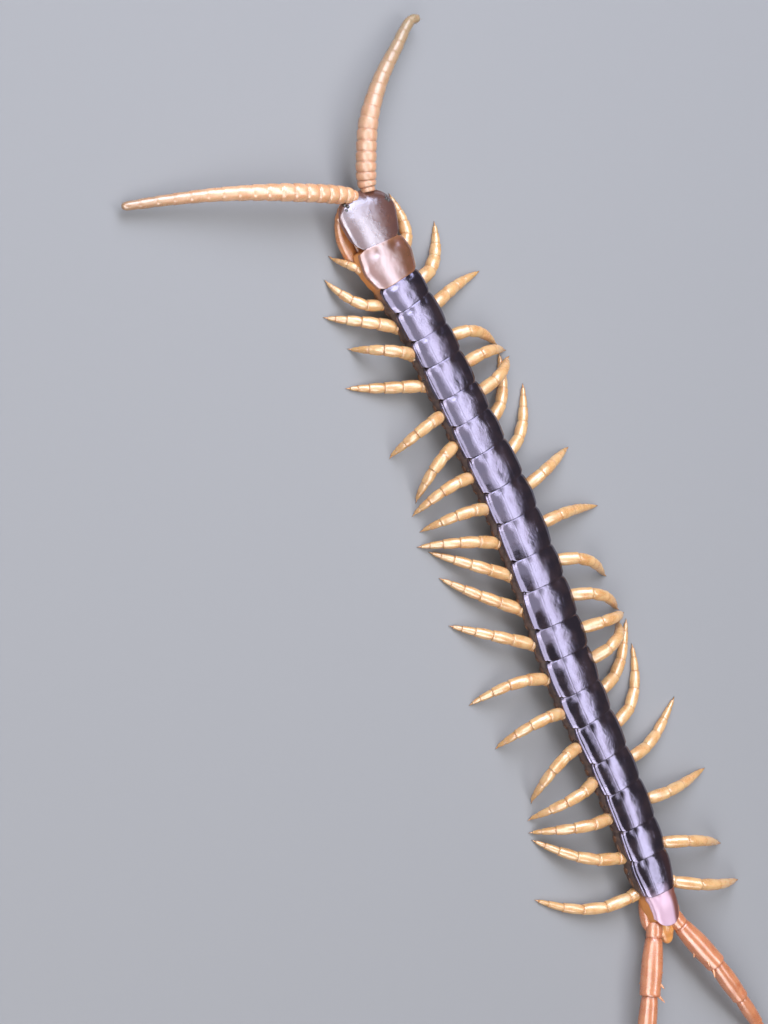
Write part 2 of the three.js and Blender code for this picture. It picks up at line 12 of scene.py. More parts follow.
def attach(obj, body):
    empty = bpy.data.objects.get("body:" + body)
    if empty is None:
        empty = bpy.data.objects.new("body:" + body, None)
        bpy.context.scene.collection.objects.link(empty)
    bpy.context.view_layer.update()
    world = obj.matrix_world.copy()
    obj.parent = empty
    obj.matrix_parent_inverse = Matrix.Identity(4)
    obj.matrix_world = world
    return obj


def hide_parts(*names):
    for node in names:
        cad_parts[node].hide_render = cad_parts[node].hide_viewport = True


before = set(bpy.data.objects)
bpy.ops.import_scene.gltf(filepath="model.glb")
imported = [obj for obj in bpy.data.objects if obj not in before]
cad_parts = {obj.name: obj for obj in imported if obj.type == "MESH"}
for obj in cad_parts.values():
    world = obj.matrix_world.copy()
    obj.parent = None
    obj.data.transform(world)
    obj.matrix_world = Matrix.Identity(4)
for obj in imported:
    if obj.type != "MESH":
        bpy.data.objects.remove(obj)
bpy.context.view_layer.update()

print("frame loaded:", len(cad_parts), "nodes")

mm = 0.001  # all sizes below are in millimetres, and makePiece brings them to metres
weld = 1e-4  # points of a mesh that are closer than this become one
up = Vector((0, 0, 1))
sides = {"left": 1, "right": -1}
random.seed(21)

body = {
    "segments": 21,
    "headLength": 10,
    "axisHeight": 3.9,  # the trunk's axis above the floor
    "backHeight": 2.8,  # top of a back plate above the axis
    "bellyDepth": 2.3,  # belly plate below the axis
    "boxCentre": Vector((10.05, 20.76, 0)),  # middle of the whole model's box, in the spine's own plan
    "spine": [
        (1.7, -56.4), (2.8, -47.5), (2.1, -39.6), (0.8, -32), (-0.1, -21), (-1.1, -8), (-1.9, 4),
        (-1.5, 20), (-0.3, 39), (-0.6, 53), (-0.7, 64), (0.0, 75), (1.2, 88.2),
    ],
    "spineSteps": 60,
    "plateLengths": [
        6.6, 4.8, 6.0, 5.2, 6.2, 5.3, 6.2, 7.0, 6.2, 7.2, 6.0, 7.2, 6.0, 6.8, 6.0, 7.3, 6.4, 7.4, 6.0,
        7.1, 5.9,
    ],
    # by segment, with the share of its length as the fraction
    "halfWidths": [
        (1, 5.15), (1.5, 5.4), (2, 4.6), (3, 4.4), (6, 4.6), (9, 4.85), (12, 5.05), (14, 5.1), (15.5, 4.8),
        (18, 4.4), (20.3, 4.25), (21, 3.6), (22, 3.2),
    ],
    # shares of the belly's depth along each segment, and further shares along the first
    "bellySwell": [(0, 0.9), (0.12, 0.98), (0.55, 1.0), (0.96, 0.98)],
    "neckSwell": [(0, 0.3), (0.55, 0.4), (0.96, 1)],
    "hips": [(17, 0.55), (18, 0.65), (19, 0.9)],  # share of its segment where a leg sits, by segment
    "tailFall": 0.18,  # how much lower the last segment gets towards its rear
    "tailFallRange": (0.35, 1.15),
}


# Numbers and curves

def between(stops, value):
    if value <= stops[0][0]:
        return stops[0][1]
    for (x0, y0), (x1, y1) in zip(stops, stops[1:]):
        if value <= x1:
            return y0 + (y1 - y0) * (value - x0) / (x1 - x0)
    return stops[-1][1]


def smoothStep(start, end, value):
    share = min(max((value - start) / (end - start), 0), 1)
    return share * share * (3 - 2 * share)


def hump(value, middle, width):
    return math.exp(-((value - middle) / width) ** 2)


def dent(value, middle, width, depth):
    return depth * hump(value, middle, width)


def column(rows, k, value):  # the k-th numbers of the rows, read by their first ones
    return between([(row[0], row[k]) for row in rows], value)


def atEnd(share):
    return share < 1e-6 or share > 1 - 1e-6


class Course:  # a line through points, read by the distance along it; soften rounds its corners
    def __init__(self, points, soften=0):
        self.points = points
        self.soften = soften
        self.marks = [0.0]
        for a, b in zip(points, points[1:]):
            self.marks.append(self.marks[-1] + (b - a).length)
        self.length = self.marks[-1]

    def on(self, distance):
        k = min(max(bisect.bisect_right(self.marks, distance), 1), len(self.points) - 1)
        share = (distance - self.marks[k - 1]) / (self.marks[k] - self.marks[k - 1])
        return self.points[k - 1] + (self.points[k] - self.points[k - 1]) * share

    def at(self, distance):
        if not self.soften:
            return self.on(distance)
        spread = [self.on(distance + self.soften * k / 3) for k in range(-3, 4)]
        return sum(spread, Vector()) / len(spread)

    def ahead(self, distance):
        reach = 0.02
        return (self.at(distance + reach) - self.at(distance - reach)).normalized()


def smoothCourse(points, steps):  # a Catmull-Rom curve through the points
    ends = [2 * points[0] - points[1], *points, 2 * points[-1] - points[-2]]
    line = []
    for a, b, c, d in zip(ends, ends[1:], ends[2:], ends[3:]):
        slope, bend, twist = c - a, 2 * a - 5 * b + 4 * c - d, 3 * b - a - 3 * c + d
        for k in range(steps):
            t = k / steps
            line.append(0.5 * (2 * b + slope * t + bend * t * t + twist * t ** 3))
    line.append(points[-1])
    return Course(line)


spine = smoothCourse([Vector((x, y, 0)) for x, y in body["spine"]], body["spineSteps"])


def spineFrame(distance):
    backwards = spine.ahead(min(max(distance, 0), spine.length))
    return spine.at(distance), backwards, backwards.cross(up)


def onFrame(distance, left, height):
    origin, _, leftwards = spineFrame(distance)
    return origin + leftwards * left + up * height


plateStarts = [body["headLength"] + sum(body["plateLengths"][:k]) for k in range(body["segments"])]
trunkEnd = plateStarts[-1] + body["plateLengths"][-1]


# Meshes

def gridOf(columns, rows, pointAt, closed=False, marks=()):
    bm = bmesh.new()
    bmesh.ops.create_grid(bm, x_segments=columns, y_segments=rows, size=0.5)
    layers = [(bm.verts.layers.float.new(name), valueAt) for name, valueAt in marks]
    for vert in bm.verts:
        u, v = vert.co.x + 0.5, vert.co.y + 0.5
        for layer, valueAt in layers:
            vert[layer] = valueAt(u, v)
        vert.co = pointAt(u, v)
    if closed:
        bmesh.ops.remove_doubles(bm, verts=bm.verts, dist=weld)
        bmesh.ops.recalc_face_normals(bm, faces=bm.faces)
    return bm


# A round limb: a profile of (distance, radius) spun round its axis, then laid along a course
def limbOf(profile, turns, course, squeeze=1.0, floor=None, marks=()):
    bm = bmesh.new()
    chain = [bm.verts.new((radius, 0, distance)) for distance, radius in profile]
    for a, b in zip(chain, chain[1:]):
        bm.edges.new((a, b))
    bmesh.ops.spin(
        bm, geom=bm.verts[:] + bm.edges[:], axis=up, cent=(0, 0, 0), steps=turns, angle=2 * math.pi,
        use_merge=True,
    )
    bmesh.ops.remove_doubles(bm, verts=bm.verts, dist=weld)
    bmesh.ops.recalc_face_normals(bm, faces=bm.faces)
    layers = [(bm.verts.layers.float.new(name), valueAt) for name, valueAt in marks]
    frames = {}
    for vert in bm.verts:
        x, y, distance = vert.co
        key = round(distance, 4)
        if key not in frames:
            along = course.ahead(distance)
            across = along.cross(up).normalized()
            frames[key] = course.at(distance), across, across.cross(along)
        at, across, lift = frames[key]
        for layer, valueAt in layers:
            vert[layer] = valueAt(distance)
        vert.co = at + across * x + lift * (y * squeeze)
        if floor is not None:
            vert.co.z = max(vert.co.z, floor)
    return bm


def joined(parts):
    whole = bmesh.new()
    for part in parts:
        mesh = bpy.data.meshes.new("part")
        part.to_mesh(mesh)
        part.free()
        whole.from_mesh(mesh)
        bpy.data.meshes.remove(mesh)
    return whole


def makePiece(name, bm, finish, replaces=(), wall=0, levels=1):
    for face in bm.faces:
        face.smooth = True
    bmesh.ops.translate(bm, vec=-body["boxCentre"], verts=bm.verts)
    bmesh.ops.scale(bm, vec=(mm, mm, mm), verts=bm.verts)
    mesh = bpy.data.meshes.new(name)
    bm.to_mesh(mesh)
    bm.free()
    mesh.materials.append(finish)
    piece = bpy.data.objects.new(name, mesh)
    bpy.context.scene.collection.objects.link(piece)
    if wall:
        shell = piece.modifiers.new("wall", "SOLIDIFY")
        shell.thickness = wall * mm
        shell.offset = -1
    if levels:
        rounding = piece.modifiers.new("rounding", "SUBSURF")
        rounding.levels = levels
        rounding.render_levels = levels
    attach(piece, "root")
    if replaces:
        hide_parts(*replaces)


# Materials

class Value:  # a socket of a material, on which sums add their own Math nodes
    def __init__(self, finish, socket):
        self.finish = finish
        self.socket = socket

    def sum(self, operation, *inputs):
        return self.finish.node("ShaderNodeMath", {"operation": operation}, dict(enumerate(inputs)))

    def __add__(self, other):
        return self.sum("ADD", self, other)

    def __radd__(self, other):
        return self.sum("ADD", other, self)

    def __sub__(self, other):
        return self.sum("SUBTRACT", self, other)

    def __rsub__(self, other):
        return self.sum("SUBTRACT", other, self)

    def __mul__(self, other):
        return self.sum("MULTIPLY", self, other)

    def __rmul__(self, other):
        return self.sum("MULTIPLY", other, self)

    def size(self):
        return self.sum("ABSOLUTE", self)


class Finish:  # one material under construction
    def __init__(self, name, **constants):
        self.material = bpy.data.materials.new(name)
        self.material.use_nodes = True
        self.tree = self.material.node_tree
        self.shader = self.tree.nodes["Principled BSDF"]
        for socket, value in constants.items():
            self.shader.inputs[socket.replace("_", " ")].default_value = value
        self.place = self.node("ShaderNodeTexCoord", output="Object")

    def node(self, kind, settings=None, inputs=None, output=0):
        made = self.tree.nodes.new(kind)
        for key, value in (settings or {}).items():
            setattr(made, key, value)
        for key, value in (inputs or {}).items():
            self.feed(made.inputs[key], value)
        return Value(self, made.outputs[output])

    def feed(self, socket, value):
        if isinstance(value, Value):
            self.tree.links.new(value.socket, socket)
        else:
            socket.default_value = value

    def noise(self, grain, detail):  # grain is the size of a patch in millimetres
        inputs = {"Vector": self.place, "Scale": 1 / (grain * mm), "Detail": detail}
        return self.node("ShaderNodeTexNoise", {"noise_dimensions": "3D"}, inputs)

    def mark(self, name):  # a number kept on the mesh's vertices
        return self.node("ShaderNodeAttribute", {"attribute_name": name}, output="Fac")

    def ramp(self, value, start, end):  # 0 below start, 1 above end, smooth between
        settings = {"interpolation_type": "SMOOTHSTEP"}
        return self.node("ShaderNodeMapRange", settings, {"Value": value, "From Min": start, "From Max": end})

    def mix(self, share, first, second):
        first, second = ((*color, 1) if isinstance(color, tuple) else color for color in (first, second))
        inputs = {0: share, 6: first, 7: second}  # the sockets that a mix of colours uses
        return self.node("ShaderNodeMix", {"data_type": "RGBA"}, inputs, output=2)

    def finished(self, color, roughness, height, depth):  # depth in millimetres for a height from 0 to 1
        self.feed(self.shader.inputs["Base Color"], color)
        self.feed(self.shader.inputs["Roughness"], roughness)
        relief = {"Height": height, "Distance": depth * mm, "Strength": 1.0}
        self.feed(self.shader.inputs["Normal"], self.node("ShaderNodeBump", {}, relief, output="Normal"))
        return self.material


# Tints of the gloss on the plates
cuticle = {
    "violet": (0.76, 0.70, 1.0, 1),
    "rose": (1.0, 0.80, 0.92, 1),
    "pearl": (1.0, 0.90, 1.0, 1),
    "mauve": (0.85, 0.86, 1.0, 1),
}


def plateFinish(name, middle, edge, spot, roughness, tint):
    f = Finish(name, IOR=1.8, Specular_IOR_Level=1.0, Specular_Tint=cuticle[tint])
    along = f.mark("along")
    cloud = f.noise(2.6, 3)
    grain = f.noise(0.16, 3)
    pits = f.noise(0.8, 2)
    sideRim = f.ramp(f.mark("across").size(), 0.86, 1.0)
    rearRim = f.ramp(along, 0.9, 1.0)
    frontRim = 1 - f.ramp(along, 0.0, 0.16)
    color = f.mix(f.ramp(cloud, 0.35, 0.7) * 0.6, middle, spot)
    color = f.mix(sideRim * 0.7 + rearRim * 0.55 + frontRim * 0.6, color, edge)
    rough = roughness + (cloud - 0.5) * 0.16 + (grain - 0.5) * 0.08
    return f.finished(color, rough, grain * 0.15 + pits * 0.35 + cloud * 0.5, 0.06)


# The last two plates pale towards the rear, partly their own paler colour and partly a painted highlight; the
# pale is left off their right side, which gets a colour of its own as painted shade
def tailFinish(name, dark, side, pale, paleAndHighlightFrom, roughness, gloss, tint):
    f = Finish(name, IOR=1.7, Specular_IOR_Level=gloss, Specular_Tint=cuticle[tint])
    cloud = f.noise(1.6, 3)
    across = f.mark("across")
    paleAndHighlightRear = f.ramp(f.mark("along") + (cloud - 0.5) * 0.5, paleAndHighlightFrom, paleAndHighlightFrom + 0.5)
    # painted shade: the right side in a colour of its own
    color = f.mix(f.ramp(across, -0.3, -0.7), dark, side)
    # the pale towards the rear on the middle and left: partly the plate's own paler colour, partly a painted
    # highlight
    color = f.mix(paleAndHighlightRear * f.ramp(across, -0.5, -0.2), color, pale)
    return f.finished(color, roughness + (cloud - 0.5) * 0.16, cloud, 0.05)


def limbFinish(name, pale, deep, joint, tip, roughness, tipFrom=0.72, gloss=0.8):
    f = Finish(name, IOR=1.6, Specular_IOR_Level=gloss, Subsurface_Weight=0.15, Subsurface_Scale=0.4 * mm)
    cloud = f.noise(1.7, 3)
    speckle = f.noise(0.22, 3)
    streaks = f.noise(0.5, 2)
    color = f.mix(f.ramp(cloud + (speckle - 0.5) * 0.5, 0.35, 0.75), pale, deep)
    color = f.mix(f.ramp(f.mark("along"), tipFrom, 1.0) * 0.85, color, tip)
    color = f.mix(f.mark("joint") * 0.4, color, joint)
    rough = roughness + (cloud - 0.5) * 0.2 + (speckle - 0.5) * 0.1
    return f.finished(color, rough, speckle * 0.5 + streaks * 0.5, 0.02)


# Dark between the plates, and as amber as the jaws beside the first plate and the last
def skinFinish(name, first, second, amber):
    f = Finish(name, Specular_IOR_Level=0.4)
    cloud = f.noise(0.9, 3)
    fine = f.noise(0.14, 3)
    color = f.mix(f.ramp(cloud, 0.35, 0.7), first, second)
    color = f.mix(f.mark("amber"), color, amber)
    return f.finished(color, 0.45 + (cloud - 0.5) * 0.2, fine * 0.5 + cloud * 0.5, 0.03)


def plainFinish(name, first, second, grain, roughness, depth, **constants):
    f = Finish(name, **constants)
    cloud = f.noise(grain, 3)
    fine = f.noise(grain * 0.15, 3)
    color = f.mix(f.ramp(cloud, 0.35, 0.7), first, second)
    return f.finished(color, roughness + (cloud - 0.5) * 0.2, fine * 0.6 + cloud * 0.4, depth)


finishes = {
    "plate": plateFinish(
        "darkPlate", middle=(0.008, 0.005, 0.006), edge=(0.022, 0.011, 0.010), spot=(0.028, 0.014, 0.011),
        roughness=0.15, tint="violet",
    ),
    "neck": plateFinish(
        "neckPlate", middle=(0.13, 0.050, 0.021), edge=(0.27, 0.11, 0.045), spot=(0.20, 0.065, 0.036),
        roughness=0.2, tint="pearl",
    ),
    "shield": plateFinish(
        "headShield", middle=(0.115, 0.047, 0.032), edge=(0.19, 0.066, 0.030), spot=(0.075, 0.028, 0.022),
        roughness=0.19, tint="mauve",
    ),
    # pale is partly the plate's own colour and partly a painted highlight; side is painted shade on the right
    # side
    "rear": tailFinish(
        "rearPlate", dark=(0.012, 0.007, 0.008), side=(0.03, 0.012, 0.01), pale=(0.30, 0.21, 0.27),
        paleAndHighlightFrom=0.66, roughness=0.16, gloss=1.0, tint="violet",
    ),
    "tail": tailFinish(
        "tailPlate", dark=(0.20, 0.085, 0.07), side=(0.15, 0.042, 0.025), pale=(0.56, 0.37, 0.46),
        paleAndHighlightFrom=-0.25, roughness=0.34, gloss=0.7, tint="rose",
    ),
    "leg": limbFinish(
        "amberLeg", pale=(0.70, 0.43, 0.20), deep=(0.57, 0.28, 0.095), joint=(0.38, 0.16, 0.05),
        tip=(0.54, 0.29, 0.10), roughness=0.24, gloss=1.0,
    ),
    "claw": limbFinish(
        "clawHorn", pale=(0.55, 0.25, 0.06), deep=(0.42, 0.17, 0.035), joint=(0.2, 0.08, 0.02),
        tip=(0.05, 0.018, 0.008), roughness=0.25, tipFrom=0.3,
    ),
    "lastLeg": limbFinish(
        "orangeLeg", pale=(0.58, 0.22, 0.10), deep=(0.46, 0.145, 0.055), joint=(0.28, 0.06, 0.02),
        tip=(0.50, 0.20, 0.08), roughness=0.26, gloss=1.0,
    ),
    "tailEnd": limbFinish(
        "amberEnd", pale=(0.80, 0.38, 0.11), deep=(0.68, 0.26, 0.055), joint=(0.36, 0.10, 0.03),
        tip=(0.62, 0.22, 0.06), roughness=0.3,
    ),
    "antenna_left": limbFinish(
        "brightAntenna", pale=(0.70, 0.40, 0.22), deep=(0.60, 0.28, 0.12), joint=(0.42, 0.17, 0.08),
        tip=(0.36, 0.20, 0.10), roughness=0.26, tipFrom=0.5, gloss=1.0,
    ),
    "antenna_right": limbFinish(
        "tanAntenna", pale=(0.62, 0.34, 0.20), deep=(0.50, 0.25, 0.13), joint=(0.28, 0.10, 0.05),
        tip=(0.30, 0.22, 0.12), roughness=0.34, tipFrom=0.1,
    ),
    "jaw": limbFinish(
        "jawHorn", pale=(0.64, 0.27, 0.10), deep=(0.50, 0.17, 0.05), joint=(0.18, 0.045, 0.012),
        tip=(0.10, 0.02, 0.006), roughness=0.24, gloss=1.0,
    ),
    "skin": skinFinish(
        "softSkin", first=(0.055, 0.034, 0.030), second=(0.10, 0.060, 0.050), amber=(0.50, 0.19, 0.05)
    ),
    "belly": plainFinish(
        "bellyPlate", first=(0.33, 0.17, 0.055), second=(0.22, 0.10, 0.035), grain=1.8, roughness=0.36,
        depth=0.02, Coat_Weight=0.2,
    ),
    "scute": plainFinish(
        "sideScute", first=(0.16, 0.065, 0.022), second=(0.09, 0.035, 0.016), grain=0.8, roughness=0.36,
        depth=0.02, Coat_Weight=0.2,
    ),
    "horn": plainFinish(
        "darkHorn", first=(0.018, 0.008, 0.006), second=(0.045, 0.016, 0.008), grain=0.5, roughness=0.2,
        depth=0.008, Coat_Weight=0.5,
    ),
    "eye": plainFinish(
        "eyeLens", first=(0.006, 0.004, 0.004), second=(0.012, 0.008, 0.006), grain=0.4, roughness=0.08,
        depth=0.002, Coat_Weight=1.0,
    ),
    "hair": plainFinish(
        "hair", first=(0.30, 0.15, 0.06), second=(0.20, 0.09, 0.035), grain=0.4, roughness=0.5, depth=0.004
    ),
}
print("materials ready:", len(finishes))


# Back plates, one for each segment, each lapping over the next
backPlate = {
    # columns from the middle to the rim, closer at the suture and at the raised rim
    "columns": [
        0, 0.09, 0.18, 0.26, 0.33, 0.362, 0.38, 0.398, 0.43, 0.5, 0.58, 0.66, 0.74, 0.81, 0.865, 0.905, 0.935,
        0.96, 0.982, 1.0,
    ],
    "rows": 26,
    "frontLap": 0.35,  # how far the plate reaches under the one before
    "rearLap": 0.42,  # and over the one behind
    "crest": 0.55,  # share of its length where it is highest and widest
    "frontFall": 0.08,
    "rearFall": 0.03,
    "frontTaper": 0.05,
    "rearTaper": 0.04,
    "frontNarrow": 0.035,
    "lastNarrow": 0.13,
    "lastNarrowRange": (0, 0.3),
    "rimLevel": 0.4,  # height of the rim above the axis, as a share of the middle's
    "flatness": [(2, 2.5), (8, 2.5), (10, 2.1), (18, 2.1), (20, 2.5)],  # across each plate, by segment
    "middleFlatness": 0.4,  # added to it about halfway along
    "middleRange": (0.55, 0.3),  # as (share along, width)
    "cornerRange": (0.62, 1),
    "frontCorner": 0.4,  # how far the front corners are rounded off
    "rearCorner": 0.6,
    "lastBow": 0.75,  # the last plate's rear edge: out in the middle and back at its sides
    "lastCut": 0.9,
    "frontDip": 0.25,
    "frontDipEnd": 0.14,
    "rearRise": 0.01,
    "rearRiseRange": (0.8, 0.97),
    # lines and hollows across the plate, as (share across, width, depth)
    "suture": (0.38, 0.011, 0.012),
    "rimGroove": (0.925, 0.022, 0.08),
    "rimRidge": (0.968, 0.022, -0.05),
    "ridgeAlong": (0.55, 0.34),  # where along the plate the ridge and the hollow are, and how far they reach
    "frontHollow": (0.45, 0.17, 0.14),
    "hollowAlong": (0.16, 0.11),
    "rimBySegment": [(2, 0.25), (6, 0.6), (10, 1)],
    "unevenness": 2.6,  # waves across a plate
    "middleWaves": 0.03,  # their height in the middle
    "sideWaves": 0.05,  # and how much higher they are at the sides
    "sideWavesRange": (0.35, 0.7),
    "thickness": 0.1,
}


def camber(share, flatness):  # height of a back plate across, as a share of its height above the axis
    rim = backPlate["rimLevel"]
    return rim + (1 - rim) * math.sqrt(max(1 - abs(share) ** flatness, 0))


def crested(share, front, rear):  # 1 at the crest, and less towards both ends
    crest = backPlate["crest"]
    if share < crest:
        return 1 - backPlate[front] * (1 - share / crest) ** 2
    return 1 - backPlate[rear] * ((share - crest) / (1 - crest)) ** 2


def archAlong(share):
    return crested(share, "frontFall", "rearFall")


def halfWidthAt(number, share):
    return between(body["halfWidths"], number + share) * crested(share, "frontTaper", "rearTaper")


def bellyDepthAt(number, share):
    neck = between(body["neckSwell"], share) if number == 1 else 1
    return body["bellyDepth"] * between(body["bellySwell"], share) * neck


def tailFallAt(number, share):
    if number < body["segments"]:
        return 1
    return 1 - body["tailFall"] * smoothStep(*body["tailFallRange"], share)


def hipPlace(number):
    return between(body["hips"], number)


# Trunk: one soft skin along the whole body, under all the plates
skin = {
    # half of its section from the back to the belly, as shares of the half width and of the heights
    "ring": [
        (0, 0.93), (0.35, 0.92), (0.62, 0.84), (0.80, 0.66), (0.9, 0.46), (0.97, 0.26), (1.07, -0.06),
        (1.02, -0.42), (0.8, -0.8), (0.42, -0.95), (0, -0.96),
    ],
    "ringSteps": 8,
    "around": 56,
    "along": 300,
    "front": 9.3,
    "rearInset": 0.2,
    "seams": [(0, 0.16), (1, 0.1)],  # shares of a segment where it is drawn in, and how widely
    "seamDip": 0.45,
    "seamPinch": 0.05,
    "underPlate": 0.06,
    # folds across the flank; places round the section are shares of the way from the back to the belly
    "foldSize": 0.62,
    "foldDepth": 0.035,
    "foldWander": 0.35,
    "foldWaves": 9,
    "flankTop": (0.28, 0.42),
    "flankFoot": (0.74, 0.9),
    "smoothMiddle": (0.55, 0.2),
    "hipBulge": 0.28,
    "hipLength": 0.26,
    "hipAround": (0.6, 0.12),
    "amberFront": (0.045, 0.075),
    "amberRear": (0.95, 0.965),
}
skinRing = smoothCourse([Vector((x, y, 0)) for x, y in skin["ring"]], skin["ringSteps"])


def segmentAt(distance):
    number = min(max(bisect.bisect_right(plateStarts, distance), 1), body["segments"])
    return number, (distance - plateStarts[number - 1]) / body["plateLengths"][number - 1]


# A point of the skin; around runs from -1, the middle of the belly, over the right side to 0, the back,
# and over the left side to 1
def skinPoint(distance, around, out=0.0):
    number, share = segmentAt(distance)
    share = min(max(share, 0), 1)
    side = 1 if around > 0 else -1
    turn = abs(around)
    ring = skinRing.at(turn * skinRing.length)
    step = skinRing.ahead(min(max(turn, 0.01), 0.99) * skinRing.length)
    wide = halfWidthAt(number, share)
    seam = sum(hump(share, place, width) for place, width in skin["seams"])
    depth = bellyDepthAt(number, share)
    if ring.y > 0:  # well below the plates, and lowest where one laps over the next
        depth = body["backHeight"] * (archAlong(share) - skin["underPlate"]) - skin["seamDip"] * seam
    pinch = 1 - skin["seamPinch"] * seam
    flank = smoothStep(*skin["flankTop"], turn) * (1 - smoothStep(*skin["flankFoot"], turn))
    wander = skin["foldWander"] * math.sin(skin["foldWaves"] * turn)
    fold = math.sin(2 * math.pi * (distance / skin["foldSize"] + wander))
    hip = hump(share, hipPlace(number), skin["hipLength"]) * hump(turn, *skin["hipAround"]) * skin["hipBulge"]
    lift = out + flank * (skin["foldDepth"] * fold * (1 - hump(share, *skin["smoothMiddle"]))) + hip
    left = wide * pinch * ring.x + step.y * lift
    height = depth * ring.y * tailFallAt(number, share) - step.x * lift
    return onFrame(distance, side * left, body["axisHeight"] + height)


def skinTube(u, v):
    distance = skin["front"] + (trunkEnd - skin["rearInset"] - skin["front"]) * v
    if atEnd(v):
        return onFrame(distance, 0, body["axisHeight"])
    return skinPoint(distance, 2 * u - 1)


def amberMark(u, v):
    return max(1 - smoothStep(*skin["amberFront"], v), smoothStep(*skin["amberRear"], v))


bm = gridOf(skin["around"], skin["along"], skinTube, closed=True, marks=[("amber", amberMark)])
trunkNodes = [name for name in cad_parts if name.startswith("trunk_")]
makePiece("bodySkin", bm, finishes["skin"], trunkNodes)
print("skin ready")


def columnShare(u):
    columns = backPlate["columns"]
    place = abs(2 * u - 1) * (len(columns) - 1)
    share = between(list(enumerate(columns)), place)
    return share if u > 0.5 else -share


def backPlateOf(number):
    start = plateStarts[number - 1]
    length = body["plateLengths"][number - 1]
    last = number == body["segments"]
    whole = backPlate["frontLap"] + length + (0.0 if last else backPlate["rearLap"])
    sutures = 0 if number in (1, body["segments"]) else 1 if number > 3 else 0.5
    rim = between(backPlate["rimBySegment"], number)
    wobble = random.uniform(0, 50)

    def pointAt(u, v):
        share = columnShare(u)
        edge = abs(share)
        corner = smoothStep(*backPlate["cornerRange"], edge)
        distance = start - backPlate["frontLap"] + whole * v
        front = backPlate["frontCorner"] * corner ** 2 * (1 - v) ** 4
        rear = backPlate["rearCorner"] * corner ** 2 * v ** 5
        distance += front - rear
        if last:
            bow = backPlate["lastBow"] * (1 - share * share)
            distance += (bow - backPlate["lastCut"] * edge ** 3) * v ** 4
        along = (distance - start) / length
        wide = halfWidthAt(number, along) * (1 - backPlate["frontNarrow"] * (1 - v) ** 6)
        if last:
            wide *= 1 - backPlate["lastNarrow"] * smoothStep(*backPlate["lastNarrowRange"], v)
        swell = archAlong(along) * tailFallAt(number, along)
        flatness = between(backPlate["flatness"], number)
        flatness += backPlate["middleFlatness"] * hump(v, *backPlate["middleRange"])
        height = body["backHeight"] * camber(share, flatness) * swell
        step = 0.01
        rise = camber(share + step, flatness) - camber(share - step, flatness)
        slope = rise / (2 * step) * body["backHeight"] / wide
        if edge > 0.985:  # the camber is upright at the rim
            slope = math.copysign(4, -share)
        outward = Vector((-slope, 1)).normalized()
        sunk = dent(edge, *backPlate["suture"]) * sutures + dent(edge, *backPlate["rimGroove"]) * rim
        sunk += dent(edge, *backPlate["frontHollow"]) * hump(v, *backPlate["hollowAlong"])
        waves = backPlate["middleWaves"]
        waves += backPlate["sideWaves"] * smoothStep(*backPlate["sideWavesRange"], edge)
        spot = Vector((share * backPlate["unevenness"] + wobble, v * backPlate["unevenness"], number))
        sunk -= waves * noise.noise(spot)
        sunk += dent(edge, *backPlate["rimRidge"]) * hump(v, *backPlate["ridgeAlong"])
        if number > 1:
            sunk += backPlate["frontDip"] * (1 - smoothStep(0.0, backPlate["frontDipEnd"], v))
        sunk -= backPlate["rearRise"] * smoothStep(*backPlate["rearRiseRange"], v)
        left = wide * share - outward.x * sunk
        return onFrame(distance, left, body["axisHeight"] + height - outward.y * sunk)

    marks = [("across", lambda u, v: columnShare(u)), ("along", lambda u, v: v)]
    return gridOf(2 * (len(backPlate["columns"]) - 1), backPlate["rows"], pointAt, marks=marks)


plateLooks = {1: ("neck", "neck_plate"), 20: ("rear", "tail_plate"), 21: ("tail", "tail_plate")}
for number in range(1, body["segments"] + 1):
    look, slotName = plateLooks.get(number, ("plate", "plate"))
    bm = backPlateOf(number)
    makePiece("backPlate_%02d" % number, bm, finishes[look], wall=backPlate["thickness"])
print("back plates ready")


# Belly plates
bellyPlate = {
    "columns": 18,
    "rows": 14,
    "halfShare": 0.6,  # of the trunk's half width
    "front": 0.08,
    "rear": 0.93,
    "shortSides": 0.12,
    "shortEnds": 0.05,
    "bow": 0.08,
    "sideRise": 0.05,
    "proud": 0.1,
    # furrows, as (share across or along, width, depth)
    "lengthFurrow": (0.45, 0.06, 0.07),
    "frontFurrow": (0.12, 0.06, 0.05),
    "thickness": 0.14,
}


def bellyPlateOf(number):
    start = plateStarts[number - 1]
    length = body["plateLengths"][number - 1]

    def pointAt(u, v):
        across = 2 * u - 1
        edge = abs(across)
        taper = 1 - bellyPlate["shortSides"] * edge ** 3 - (0 if 0.2 < v < 0.8 else bellyPlate["shortEnds"])
        along = bellyPlate["front"] + (bellyPlate["rear"] - bellyPlate["front"]) * (0.5 + (v - 0.5) * taper)
        bow = 1 - bellyPlate["bow"] * (2 * v - 1) ** 4
        wide = halfWidthAt(number, along) * bellyPlate["halfShare"] * bow
        depth = bellyDepthAt(number, along) * (1 - bellyPlate["sideRise"] * edge ** 3)
        depth += bellyPlate["proud"] * (1 - across ** 6)
        groove = dent(edge, *bellyPlate["lengthFurrow"]) + dent(v, *bellyPlate["frontFurrow"])
        return onFrame(start + length * along, -wide * across, body["axisHeight"] - depth + groove)

    return gridOf(bellyPlate["columns"], bellyPlate["rows"], pointAt)


for number in range(2, body["segments"] + 1):
    bm = bellyPlateOf(number)
    makePiece("bellyPlate_%02d" % number, bm, finishes["belly"], wall=bellyPlate["thickness"])


